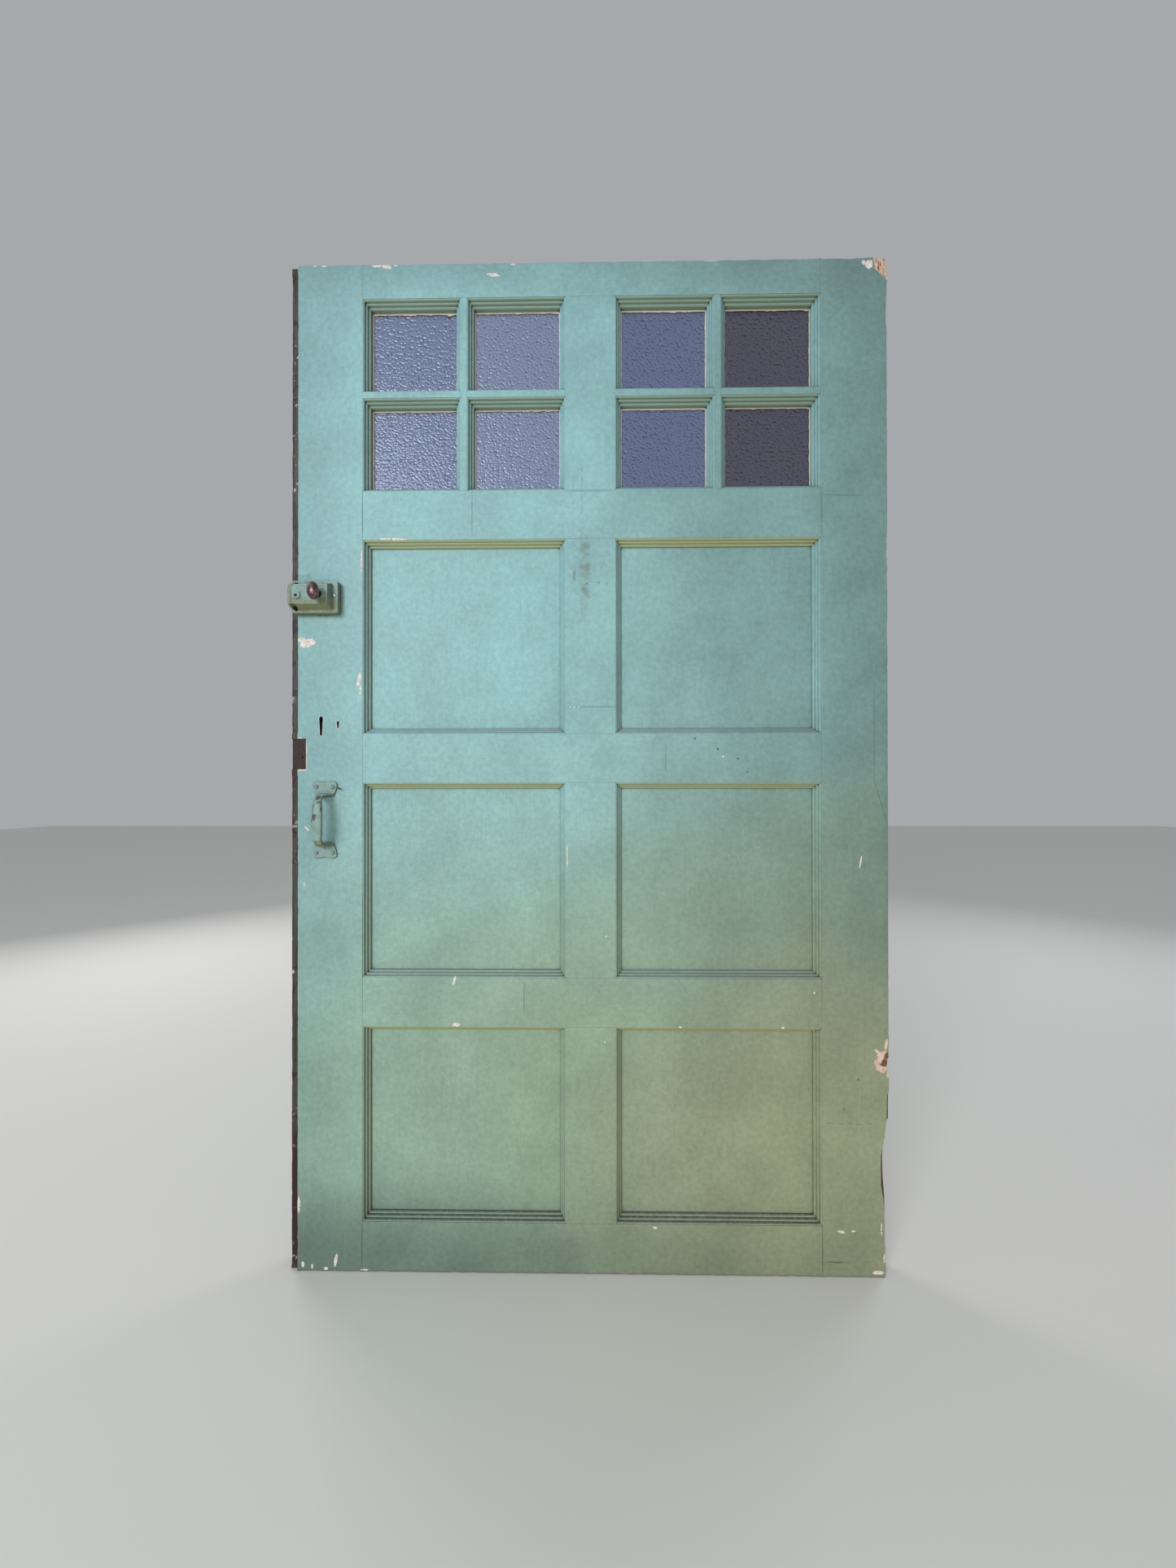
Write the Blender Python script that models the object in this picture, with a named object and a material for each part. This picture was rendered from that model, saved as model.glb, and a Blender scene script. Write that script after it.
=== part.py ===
"""One leaf of a pair of timber garage doors, built as a joiner frames it.

Two stiles, five rails and four mullions carry six flat panels and, at the top, eight panes of
obscure glass between glazing bars. A rim lock and a cast pull handle sit on the inner face.

Metres, +Z up. The inner face looks along -Y and +X runs to the hinge edge. The origin is the
centre of the hinge edge, where the leaf is hung. A depth runs back from the inner face, and a
projection stands forward of it.
"""

import math

import bmesh
import bpy
from mathutils import Matrix, Vector

# The leaf
LEAF_WIDTH = 1.219
LEAF_HEIGHT = 2.090
THICKNESS = 0.044
STILE_WIDTH = 0.136
MULLION_WIDTH = 0.103
TOP_RAIL = 0.0715
CROSS_RAIL = 0.101
BOTTOM_RAIL = 0.1035
GLAZED_HEIGHT = 0.4015
PANEL_ROWS = 3
JOINT_GAP = 0.0003

# The stuck moulding that runs round every light: equal reeds, each above a small quirk
MOULDING_WIDTH = 0.0122
REED_COUNT = 3
REED_DROP = 0.0055
QUIRK_DROP = 0.0009
REED_SEGMENTS = 3

# Panels, held in grooves behind the moulding
PANEL_THICKNESS = 0.009
PANEL_SETBACK = 0.0012
GROOVE_DEPTH = 0.010
BACK_CHAMFER = 0.006

# Glass, held in a rebate that opens to the back
BAR_WIDTH = 0.013
GLASS_THICKNESS = 0.004
GLASS_SETBACK = 0.0077
REBATE_WIDTH = 0.008
PUTTY_TOE = 0.001

# The rebated meeting edge of the lock stile
TONGUE_WIDTH = 0.016
TONGUE_SETBACK = 0.008

# What is worn or cut into the stiles. Heights run down from the top of the leaf.
KEEP_POCKET_TOP = 0.9868
KEEP_POCKET_HEIGHT = 0.0635
KEEP_POCKET_WIDTH = 0.0174
KEEP_POCKET_DEPTH = 0.003
KEEP_HOLE_RADIUS = 0.0014
KEEP_HOLE_INSET = 0.0088
KEEP_HOLE_DEPTH = 0.012
WIDE_SLIT = {"inset": 0.0490, "top": 0.9405, "width": 0.0075, "height": 0.0400, "depth": 0.025}
NARROW_SLIT = {"inset": 0.0843, "top": 0.9505, "width": 0.0045, "height": 0.0145, "depth": 0.015}
SLIT_TAPER = 0.55
ROT_TOP = 1.819
ROT_DEEPEST = 0.0113
ROT_DEPTH = 0.0075
ROT_FADE = 0.110
ROT_FACE_LOSS = 0.0055
ROT_FACE_DEPTH = 0.005
SPLINTER_HEIGHT = 0.0515
SPLINTER_WIDTH = 0.0120
SPLINTER_DEPTH = 0.018
WORN_ARRIS_HEIGHT = 0.112
WORN_ARRIS_WIDTH = 0.0050
WORN_ARRIS_DEPTH = 0.004
GOUGE_DROP = 1.659
GOUGE_SIZE = (0.013, 0.006, 0.017)
CORNER_BREAK_WIDTH = 0.0268
CORNER_BREAK_STEP = 0.0225
CORNER_BREAK_HEIGHT = 0.0400
CORNER_BREAK_DEPTH = 0.007

# The rim lock, on the inner face. Insets run from the lock stile's face edge.
LOCK_DROP = 0.6967
LOCK_LEFT = -0.0028
LOCK_LENGTH = 0.0938
LOCK_HEIGHT = 0.0655
LOCK_BASE_PROJECTION = 0.017
LOCK_BODY_PROJECTION = 0.0365
LOCK_BODY_LENGTH = 0.0807
LOCK_BODY_HEIGHT = 0.040
LOCK_BEVEL = 0.008
LOCK_END_BEVEL = 0.0025
LOCK_WALL = 0.003
LOCK_CORNER_RADIUS = 0.004
LOCK_FIELD_INSET = 0.0045
LOCK_FIELD_DEPTH = 0.0008
LOCK_FIXING_INSET = 0.0063
LOCK_FIXING_RISE = 0.0240
LOCK_FIXING_RADIUS = 0.0055
LOCK_SCREW_INSET = 0.0843
LOCK_SCREW_RISE = 0.0022
LOCK_SCREW_LENGTH = 0.034
KEY_CYLINDER_INSET = 0.0160
KEY_CYLINDER_DROP = 0.0029
KEY_CYLINDER_RADIUS = 0.0072
KEY_CYLINDER_LENGTH = 0.012
KEY_CYLINDER_PROUD = 0.0016
KEYHOLE_RADIUS = 0.0017
KEYHOLE_LEG = 0.0045
BOLT_HEIGHT = 0.020
BOLT_THICKNESS = 0.010
BOLT_LENGTH = 0.032
BOLT_PROJECTION = 0.012
BOLT_NOSE = 0.006
KNOB_INSET = 0.0587
KNOB_SIZE = (0.0245, 0.0155, 0.0370)
KNOB_PROJECTION = 0.057
KNOB_TILT = math.radians(-9)
KNOB_COLLAR_RADIUS = 0.0075
KNOB_NECK_RADIUS = 0.0045
SPINDLE_RADIUS = 0.0035
SPINDLE_TAIL = 0.010
RUNNING_GAP = 0.0003

# The pull handle, on the inner face below the lock
HANDLE_INSET = 0.0585
HANDLE_DROP = 1.1552
HANDLE_LENGTH = 0.1595
HANDLE_PLATE_WIDTH = 0.0515
HANDLE_PLATE_HEIGHT = 0.030
HANDLE_PLATE_THICKNESS = 0.0035
HANDLE_LOBE = 0.0022
HANDLE_SCREW_SPACING = 0.0342
HANDLE_SCREW_FROM_END = 0.0115
GRIP_PROJECTION = 0.0385
GRIP_BOW = 0.003
GRIP_DEPTH = 0.0105
GRIP_WIDTH = 0.0225
GRIP_NECK_WIDTH = 0.0165
ARM_FOOT_WIDTH = 0.043
ARM_THICKNESS = 0.0080

# Slotted screws and the bent nail
SCREW_HEAD_RADIUS = 0.0043
SCREW_HEAD_HEIGHT = 0.0022
SCREW_SLOT = 0.0011
LOCK_SCREW_TURN = math.radians(38)
HANDLE_SCREW_TURNS = [math.radians(turn) for turn in (88, 98, 22, 125)]
SCREW_SHANK_RADIUS = 0.0019
SCREW_SHANK_LENGTH = 0.022
NAIL_RADIUS = 0.0011
NAIL_CLEARANCE = 0.0007
NAIL_FROM_END = 0.0145
NAIL_OUT = 0.0085
NAIL_IN = 0.018

GRIP_SQUARENESS = 0.85
GRIP_SEGMENTS = 20
ROUND_SEGMENTS = 24
CUT_OVERRUN = 0.005

# Places worked out from the sizes above
FRONT = -THICKNESS / 2
LEAF_TOP = LEAF_HEIGHT / 2
LEAF_LEFT = -LEAF_WIDTH
LIGHT_WIDTH = (LEAF_WIDTH - 2 * STILE_WIDTH - MULLION_WIDTH) / 2
PANELLED = LEAF_HEIGHT - TOP_RAIL - GLAZED_HEIGHT - PANEL_ROWS * CROSS_RAIL - BOTTOM_RAIL
PANEL_HEIGHT = PANELLED / PANEL_ROWS
MOULDING_DEPTH = REED_COUNT * (REED_DROP + QUIRK_DROP)
PANEL_DEPTH = MOULDING_DEPTH + PANEL_SETBACK
GLASS_DEPTH = MOULDING_DEPTH + GLASS_SETBACK
LOCK_Z = LEAF_TOP - LOCK_DROP
HANDLE_X = LEAF_LEFT + HANDLE_INSET
HANDLE_Z = LEAF_TOP - HANDLE_DROP

PAINTS = {
    "painted_timber": ((0.27, 0.42, 0.37), 0.55, 0.0),
    "obscure_glass": ((0.30, 0.34, 0.46), 0.15, 0.0),
    "putty": ((0.62, 0.58, 0.48), 0.80, 0.0),
    "painted_casting": ((0.30, 0.42, 0.36), 0.45, 0.3),
    "bronze": ((0.19, 0.09, 0.08), 0.35, 0.9),
    "steel": ((0.35, 0.33, 0.30), 0.40, 0.9),
    "rusty_iron": ((0.12, 0.06, 0.04), 0.80, 0.6),
}


def start_scene():
    """Empties the scene and makes the collections for the pieces and for the cutters."""
    for obj in list(bpy.data.objects):
        bpy.data.objects.remove(obj, do_unlink=True)
    collections = []
    for name in ("garage_door_leaf", "cutters"):
        collection = bpy.data.collections.new(name)
        bpy.context.scene.collection.children.link(collection)
        collections.append(collection)
    return collections


PIECES, CUTTERS = start_scene()


def material(name):
    """The Principled material of that name, made the first time it is asked for."""
    if name in bpy.data.materials:
        return bpy.data.materials[name]
    colour, roughness, metallic = PAINTS[name]
    made = bpy.data.materials.new(name)
    made.use_nodes = True
    shader = made.node_tree.nodes["Principled BSDF"]
    shader.inputs["Base Color"].default_value = (*colour, 1.0)
    shader.inputs["Roughness"].default_value = roughness
    shader.inputs["Metallic"].default_value = metallic
    return made


def add_object(name, mesh, paint=None):
    """Links a mesh as a piece with its material, or as a cutter where no material is given."""
    obj = bpy.data.objects.new(name, mesh)
    if paint is None:
        CUTTERS.objects.link(obj)
        obj.hide_render = True
        obj.display_type = "WIRE"
    else:
        PIECES.objects.link(obj)
        mesh.materials.clear()
        mesh.materials.append(material(paint))
    return obj


def mesh_from(form, name):
    """Ends a bmesh as a mesh whose faces point out."""
    bmesh.ops.recalc_face_normals(form, faces=form.faces[:])
    mesh = bpy.data.meshes.new(name)
    form.to_mesh(mesh)
    form.free()
    return mesh


def combine(target, tool, operation="DIFFERENCE"):
    """Cuts the tool from the target, or joins it to the target."""
    modifier = target.modifiers.new(tool.name, "BOOLEAN")
    modifier.operation = operation
    modifier.object = tool


def mesh_of_curve(curve_object, name, paint):
    """Makes a curve into a welded mesh, because a curve takes no Boolean."""
    CUTTERS.objects.link(curve_object)
    bpy.context.view_layer.update()
    graph = bpy.context.evaluated_depsgraph_get()
    mesh = bpy.data.meshes.new_from_object(curve_object.evaluated_get(graph))
    place = curve_object.matrix_world.copy()
    bpy.data.objects.remove(curve_object, do_unlink=True)
    form = bmesh.new()
    form.from_mesh(mesh)
    bpy.data.meshes.remove(mesh)
    bmesh.ops.remove_doubles(form, verts=form.verts[:], dist=1e-6)
    bmesh.ops.dissolve_degenerate(form, dist=1e-5, edges=form.edges[:])
    bmesh.ops.dissolve_limit(form, angle_limit=1e-3, verts=form.verts[:], edges=form.edges[:])
    obj = add_object(name, mesh_from(form, name), paint)
    obj.matrix_world = place
    return obj


def slab(name, outline, front, back, paint=None):
    """A flat outline, as (x, z) points, solid between two depths behind the inner face."""
    curve = bpy.data.curves.new(name, "CURVE")
    curve.dimensions = "2D"
    curve.fill_mode = "BOTH"
    curve.extrude = (back - front) / 2
    spline = curve.splines.new("POLY")
    spline.points.add(len(outline) - 1)
    for point, (x, z) in zip(spline.points, outline):
        point.co = (x, z, 0.0, 1.0)
    spline.use_cyclic_u = True
    guide = bpy.data.objects.new(name, curve)
    guide.rotation_euler = (math.pi / 2, 0.0, 0.0)
    guide.location = (0.0, FRONT + (front + back) / 2, 0.0)
    return mesh_of_curve(guide, name, paint)


def box(name, x_range, depth_range, z_range, paint=None):
    """A cuboid, from its extents along X, behind the inner face, and along Z."""
    form = bmesh.new()
    bmesh.ops.create_cube(form, size=1.0)
    y_range = (FRONT + depth_range[0], FRONT + depth_range[1])
    ranges = (x_range, y_range, z_range)
    size = [high - low for low, high in ranges]
    centre = [(high + low) / 2 for low, high in ranges]
    bmesh.ops.scale(form, vec=size, verts=form.verts[:])
    bmesh.ops.translate(form, vec=centre, verts=form.verts[:])
    return add_object(name, mesh_from(form, name), paint)


def rod(name, radius, x, z, depth_range, paint=None, end_radius=None, segments=ROUND_SEGMENTS):
    """A round bar across the leaf, between two depths. Its far end may have another radius."""
    low, high = depth_range
    form = bmesh.new()
    bmesh.ops.create_cone(
        form,
        cap_ends=True,
        segments=segments,
        radius1=radius,
        radius2=radius if end_radius is None else end_radius,
        depth=high - low,
        matrix=Matrix.Translation((x, FRONT + (low + high) / 2, z))
        @ Matrix.Rotation(-math.pi / 2, 4, "X"),
    )
    return add_object(name, mesh_from(form, name), paint)


def ellipsoid(name, size, centre, turn=0.0, paint=None, rings=12):
    """A ball stretched to the full sizes given, turned about Y."""
    form = bmesh.new()
    bmesh.ops.create_uvsphere(form, u_segments=ROUND_SEGMENTS, v_segments=rings, radius=0.5)
    bmesh.ops.scale(form, vec=size, verts=form.verts[:])
    obj = add_object(name, mesh_from(form, name), paint)
    obj.location = centre
    obj.rotation_euler = (0.0, turn, 0.0)
    return obj


class Light:
    """One opening of the frame: its rectangle on the inner face, and what fills it."""

    def __init__(self, name, x0, x1, z0, z1, glazed):
        self.name = name
        self.x0, self.x1, self.z0, self.z1 = x0, x1, z0, z1
        self.glazed = glazed

    def rectangle(self, inset):
        """Its (low x, high x, low z, high z), taken in by the inset on every side."""
        return self.x0 + inset, self.x1 - inset, self.z0 + inset, self.z1 - inset


def columns():
    """The two columns of lights as (name, left, right)."""
    left = LEAF_LEFT + STILE_WIDTH
    right = -STILE_WIDTH
    return [("left", left, left + LIGHT_WIDTH), ("right", right - LIGHT_WIDTH, right)]


def rows():
    """The rows of lights from the top down as (low z, high z). The first is glazed."""
    top = LEAF_TOP - TOP_RAIL
    found = [(top - GLAZED_HEIGHT, top)]
    for _ in range(PANEL_ROWS):
        top = found[-1][0] - CROSS_RAIL
        found.append((top - PANEL_HEIGHT, top))
    return found


def make_lights():
    """Every panel opening and every pane opening."""
    lights = []
    for side, x0, x1 in columns():
        z0, z1 = rows()[0]
        middle_x, middle_z, half = (x0 + x1) / 2, (z0 + z1) / 2, BAR_WIDTH / 2
        for across, (a, b) in enumerate([(x0, middle_x - half), (middle_x + half, x1)]):
            for level, (c, d) in enumerate([(middle_z + half, z1), (z0, middle_z - half)]):
                lights.append(Light(f"pane_{side}_{level + 1}_{across + 1}", a, b, c, d, True))
        for row, (z0, z1) in enumerate(rows()[1:]):
            lights.append(Light(f"panel_{side}_{row + 1}", x0, x1, z0, z1, False))
    return lights


def same(a, b):
    return abs(a - b) < 1e-6


def moulded_outline(x0, x1, z0, z1, lights):
    """A member's outline with its share of each moulding, mitred at the corners of the lights.

    Returns (x, z, free) points, anticlockwise. Free says that the edge after a point faces
    into a light, so it takes no joint gap.
    """
    w = MOULDING_WIDTH
    points = [(x0, z0, False)]
    for light in sorted((k for k in lights if same(k.z1, z0)), key=lambda k: k.x0):
        if x0 - 1e-6 < light.x0 and light.x1 < x1 + 1e-6:
            points += [(light.x0, z0, False), (light.x0 + w, z0 - w, True)]
            points += [(light.x1 - w, z0 - w, False), (light.x1, z0, False)]
    points.append((x1, z0, False))
    for light in sorted((k for k in lights if same(k.x0, x1)), key=lambda k: k.z0):
        if z0 - 1e-6 < light.z0 and light.z1 < z1 + 1e-6:
            points += [(x1, light.z0, False), (x1 + w, light.z0 + w, True)]
            points += [(x1 + w, light.z1 - w, False), (x1, light.z1, False)]
    points.append((x1, z1, False))
    for light in sorted((k for k in lights if same(k.z0, z1)), key=lambda k: -k.x0):
        if x0 - 1e-6 < light.x0 and light.x1 < x1 + 1e-6:
            points += [(light.x1, z1, False), (light.x1 - w, z1 + w, True)]
            points += [(light.x0 + w, z1 + w, False), (light.x0, z1, False)]
    points.append((x0, z1, False))
    for light in sorted((k for k in lights if same(k.x1, x0)), key=lambda k: -k.z0):
        if z0 - 1e-6 < light.z0 and light.z1 < z1 + 1e-6:
            points += [(x0, light.z1, False), (x0 - w, light.z1 - w, True)]
            points += [(x0 - w, light.z0 + w, False), (x0, light.z0, False)]
    kept = []
    for point, following in zip(points, points[1:] + points[:1]):
        if not (same(point[0], following[0]) and same(point[1], following[1])):
            kept.append(point)
    return kept


def on_rim(a, b):
    """Whether the edge from a to b lies on the outside of the leaf."""
    for axis, low, high in ((0, LEAF_LEFT, 0.0), (1, -LEAF_TOP, LEAF_TOP)):
        if same(a[axis], b[axis]) and (a[axis] < low + 1e-6 or a[axis] > high - 1e-6):
            return True
    return False


def with_joint_gaps(outline):
    """Draws each jointed edge back by half the joint gap, and leaves the free ones."""
    lines = []
    for a, b in zip(outline, outline[1:] + outline[:1]):
        gap = 0.0 if a[2] or on_rim(a, b) else JOINT_GAP / 2
        run = Vector((b[0] - a[0], b[1] - a[1])).normalized()
        inward = Vector((-run.y, run.x))
        lines.append((Vector(a[:2]) + inward * gap, run))
    drawn = []
    for (p, u), (q, v) in zip([lines[-1]] + lines[:-1], lines):
        share = (q - p).cross(v) / u.cross(v)
        drawn.append(tuple(p + u * share))
    return drawn


def moulding_profile():
    """The reeds in section, as (inset from the light's edge, depth) points."""
    step = MOULDING_WIDTH / REED_COUNT
    points = []
    inset, depth = 0.0, 0.0
    for _ in range(REED_COUNT):
        depth += QUIRK_DROP
        points.append((inset, depth))
        for k in range(1, REED_SEGMENTS + 1):
            angle = math.pi / 2 * k / REED_SEGMENTS
            points.append((inset + step * math.sin(angle), depth + REED_DROP * (1 - math.cos(angle))))
        inset += step
        depth += REED_DROP
    return points


def light_profile(light):
    """The whole hollow of a light in section, from in front of the leaf to behind it."""
    clear = MOULDING_WIDTH + 0.001
    half_gap = JOINT_GAP
    profile = [(0.0, -CUT_OVERRUN)] + moulding_profile()
    profile[-1] = (clear, profile[-1][1])
    if light.glazed:
        seat = MOULDING_WIDTH - REBATE_WIDTH
        profile += [(clear, GLASS_DEPTH - half_gap), (seat, GLASS_DEPTH - half_gap)]
        profile.append((seat, THICKNESS + CUT_OVERRUN))
        return profile
    front, back = PANEL_DEPTH - half_gap, PANEL_DEPTH + PANEL_THICKNESS + half_gap
    bed = MOULDING_WIDTH - GROOVE_DEPTH
    past = clear - MOULDING_WIDTH
    profile += [(clear, front), (bed, front), (bed, back), (clear, back)]
    profile.append((clear, THICKNESS - BACK_CHAMFER - past))
    over = BACK_CHAMFER + CUT_OVERRUN
    profile.append((MOULDING_WIDTH - over, THICKNESS + CUT_OVERRUN))
    return profile


def place_ring(verts, light, inset, depth):
    """Moves the four corners of a face onto the light's rectangle at that inset and depth."""
    x0, x1, z0, z1 = light.rectangle(inset)
    middle_x, middle_z = (light.x0 + light.x1) / 2, (light.z0 + light.z1) / 2
    for vert in verts:
        vert.co.x = x1 if vert.co.x > middle_x else x0
        vert.co.z = z1 if vert.co.z > middle_z else z0
        vert.co.y = FRONT + depth


def ring_solid(name, light, profile, paint=None):
    """A solid whose sections across the leaf are the light's rectangle at each profile point."""
    form = bmesh.new()
    bmesh.ops.create_cube(form, size=0.001)
    middle = ((light.x0 + light.x1) / 2, 0.0, (light.z0 + light.z1) / 2)
    bmesh.ops.translate(form, vec=middle, verts=form.verts[:])
    near = [v for v in form.verts if v.co.y < 0]
    far = [v for v in form.verts if v.co.y > 0]
    face = next(f for f in form.faces if all(v in far for v in f.verts))
    place_ring(near, light, *profile[0])
    place_ring(far, light, *profile[1])
    for inset, depth in profile[2:]:
        made = bmesh.ops.extrude_face_region(form, geom=[face, *face.edges, *face.verts])
        face = next(item for item in made["geom"] if isinstance(item, bmesh.types.BMFace))
        place_ring(face.verts, light, inset, depth)
    return add_object(name, mesh_from(form, name), paint)


def make_members(lights, hollows):
    """Stiles, rails, mullions and glazing bars, with the mouldings, grooves and rebates cut."""
    left, right = LEAF_LEFT + STILE_WIDTH, -STILE_WIDTH
    bands = [LEAF_TOP] + [z for z0, z1 in rows() for z in (z1, z0)] + [-LEAF_TOP]
    frames = [
        ("lock_stile", LEAF_LEFT, left, -LEAF_TOP, LEAF_TOP),
        ("hinge_stile", right, 0.0, -LEAF_TOP, LEAF_TOP),
    ]
    names = ["top_rail", "frieze_rail", "middle_rail", "lower_rail"]
    names = names[:PANEL_ROWS + 1] + ["bottom_rail"]
    for name, z1, z0 in zip(names, bands[0::2], bands[1::2]):
        frames.append((name, left, right, z0, z1))
    (_, _, mullion_left), (_, mullion_right, _) = columns()
    for number, (z0, z1) in enumerate(rows()):
        frames.append((f"mullion_{number + 1}", mullion_left, mullion_right, z0, z1))
    z0, z1 = rows()[0]
    middle_z, half = (z0 + z1) / 2, BAR_WIDTH / 2
    for side, x0, x1 in columns():
        middle_x = (x0 + x1) / 2
        frames.append((f"glazing_bar_{side}_upright", middle_x - half, middle_x + half, z0, z1))
        for number, (a, b) in enumerate([(x0, middle_x - half), (middle_x + half, x1)]):
            name = f"glazing_bar_{side}_cross_{number + 1}"
            frames.append((name, a, b, middle_z - half, middle_z + half))
    members = {}
    for name, x0, x1, z0, z1 in frames:
        outline = with_joint_gaps(moulded_outline(x0, x1, z0, z1, lights))
        if name == "lock_stile":
            outline = [(x - TONGUE_WIDTH if same(x, LEAF_LEFT) else x, z) for x, z in outline]
        members[name] = slab(name, outline, 0.0, THICKNESS, "painted_timber")
        for light in lights:
            if light.x1 > x0 - 1e-6 and light.x0 < x1 + 1e-6:
                if light.z1 > z0 - 1e-6 and light.z0 < z1 + 1e-6:
                    combine(members[name], hollows[light.name])
    return members


def make_fillings(lights):
    """A panel in each panel light, and glass with its putty fillet in each pane light."""
    for light in lights:
        if not light.glazed:
            x0, x1, z0, z1 = light.rectangle(MOULDING_WIDTH - GROOVE_DEPTH + JOINT_GAP)
            depths = (PANEL_DEPTH, PANEL_DEPTH + PANEL_THICKNESS)
            box(light.name, (x0, x1), depths, (z0, z1), "painted_timber")
            continue
        seat = MOULDING_WIDTH - REBATE_WIDTH + JOINT_GAP
        x0, x1, z0, z1 = light.rectangle(seat)
        depths = (GLASS_DEPTH, GLASS_DEPTH + GLASS_THICKNESS)
        box(light.name.replace("pane", "glass"), (x0, x1), depths, (z0, z1), "obscure_glass")
        name = light.name.replace("pane", "putty")
        start = depths[1] + JOINT_GAP
        putty = box(name, (x0, x1), (start, THICKNESS), (z0, z1), "putty")
        toe = seat + PUTTY_TOE
        slope = (MOULDING_WIDTH - toe) / (THICKNESS - start)
        over = CUT_OVERRUN
        profile = [(MOULDING_WIDTH + slope * over, start - over), (toe - slope * over, THICKNESS + over)]
        combine(putty, ring_solid(f"{name}_hollow", light, profile))


def face_edge(inset):
    """X of a point that far in from the lock stile's face edge."""
    return LEAF_LEFT + inset


def cut_meeting_edge(stile):
    """The rebate down the lock stile, and the pocket that was cut for a lock keep."""
    outside = LEAF_LEFT - TONGUE_WIDTH - CUT_OVERRUN
    full = (-LEAF_TOP - CUT_OVERRUN, LEAF_TOP + CUT_OVERRUN)
    combine(stile, box("meeting_rebate", (outside, LEAF_LEFT), (-CUT_OVERRUN, TONGUE_SETBACK), full))
    top = LEAF_TOP - KEEP_POCKET_TOP
    height = (top - KEEP_POCKET_HEIGHT, top)
    inner = face_edge(KEEP_POCKET_WIDTH)
    combine(stile, box("keep_pocket", (outside, inner), (-CUT_OVERRUN, KEEP_POCKET_DEPTH), height))
    step = TONGUE_SETBACK + KEEP_POCKET_DEPTH
    combine(stile, box("keep_pocket_step", (outside, LEAF_LEFT + 1e-4), (-CUT_OVERRUN, step), height))
    middle = top - 0.6 * KEEP_POCKET_HEIGHT
    x = face_edge(KEEP_HOLE_INSET)
    depths = (-CUT_OVERRUN, KEEP_HOLE_DEPTH)
    combine(stile, rod("keep_screw_hole", KEEP_HOLE_RADIUS, x, middle, depths, segments=12))


def cut_slit(stile, name, slit):
    """A narrow upright slot with round ends, tapering towards its foot."""
    x, top = face_edge(slit["inset"]), LEAF_TOP - slit["top"]
    upper, lower = slit["width"] / 2, slit["width"] / 2 * SLIT_TAPER
    outline = []
    for radius, centre, start in (
        (upper, top - upper, 0.0),
        (lower, top - slit["height"] + lower, math.pi),
    ):
        for k in range(7):
            angle = start + math.pi * k / 6
            outline.append((x + radius * math.cos(angle), centre + radius * math.sin(angle)))
    combine(stile, slab(name, outline, -CUT_OVERRUN, slit["depth"]))


def wear_hinge_edge(stile):
    """The rotted foot, the splintered arris above it, the gouge and the broken top corner."""
    start = LEAF_TOP - ROT_TOP
    beyond = CUT_OVERRUN
    foot = -LEAF_TOP - CUT_OVERRUN
    rot = [
        (beyond, start + ROT_DEEPEST / 2),
        (-ROT_DEEPEST * 0.85, start),
        (-ROT_DEEPEST, start - ROT_FADE * 0.3),
        (-ROT_DEEPEST * 0.9, start - ROT_FADE * 0.65),
        (-ROT_DEPTH, start - ROT_FADE),
        (-ROT_DEPTH * 0.75, foot),
        (beyond, foot),
    ]
    combine(stile, slab("rotted_foot", rot, -CUT_OVERRUN, THICKNESS + CUT_OVERRUN))
    loss = ROT_FACE_LOSS
    face_loss = [
        (beyond, start + ROT_DEEPEST),
        (-ROT_DEEPEST - loss * 0.2, start),
        (-ROT_DEEPEST - loss, start - ROT_FADE * 0.22),
        (-ROT_DEEPEST - loss, start - ROT_FADE * 0.75),
        (-ROT_DEPTH - loss * 0.85, start - ROT_FADE),
        (-ROT_DEPTH - loss * 0.4, start - ROT_FADE * 1.35),
        (-ROT_DEPTH - loss * 0.3, foot),
        (beyond, foot),
    ]
    combine(stile, slab("rotted_face", face_loss, -CUT_OVERRUN, ROT_FACE_DEPTH))
    worn = [
        (beyond, start + WORN_ARRIS_HEIGHT + CUT_OVERRUN),
        (-WORN_ARRIS_WIDTH * 0.8, start + WORN_ARRIS_HEIGHT * 0.9),
        (-WORN_ARRIS_WIDTH, start + WORN_ARRIS_HEIGHT * 0.6),
        (-WORN_ARRIS_WIDTH * 0.9, start),
        (beyond, start),
    ]
    combine(stile, slab("worn_arris", worn, -CUT_OVERRUN, WORN_ARRIS_DEPTH))
    splinter = [
        (beyond, start + SPLINTER_HEIGHT + CUT_OVERRUN / 2),
        (-SPLINTER_WIDTH * 0.50, start + SPLINTER_HEIGHT * 0.9),
        (-SPLINTER_WIDTH * 0.7, start + SPLINTER_HEIGHT * 0.45),
        (-SPLINTER_WIDTH, start - 0.002),
        (beyond, start - 0.002),
    ]
    combine(stile, slab("splintered_arris", splinter, -CUT_OVERRUN, SPLINTER_DEPTH))
    gouge_centre = (0.0, FRONT, LEAF_TOP - GOUGE_DROP)
    gouge_size = [2 * extent for extent in GOUGE_SIZE]
    combine(stile, ellipsoid("edge_gouge", gouge_size, gouge_centre, rings=8))
    broken = [
        (-CORNER_BREAK_WIDTH, LEAF_TOP + beyond),
        (-CORNER_BREAK_WIDTH * 0.88, LEAF_TOP - CORNER_BREAK_STEP),
        (-CORNER_BREAK_WIDTH * 0.22, LEAF_TOP - CORNER_BREAK_HEIGHT),
        (beyond, LEAF_TOP - CORNER_BREAK_HEIGHT * 0.92),
        (beyond, LEAF_TOP + beyond),
    ]
    combine(stile, slab("broken_corner", broken, -CUT_OVERRUN, CORNER_BREAK_DEPTH))


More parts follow.
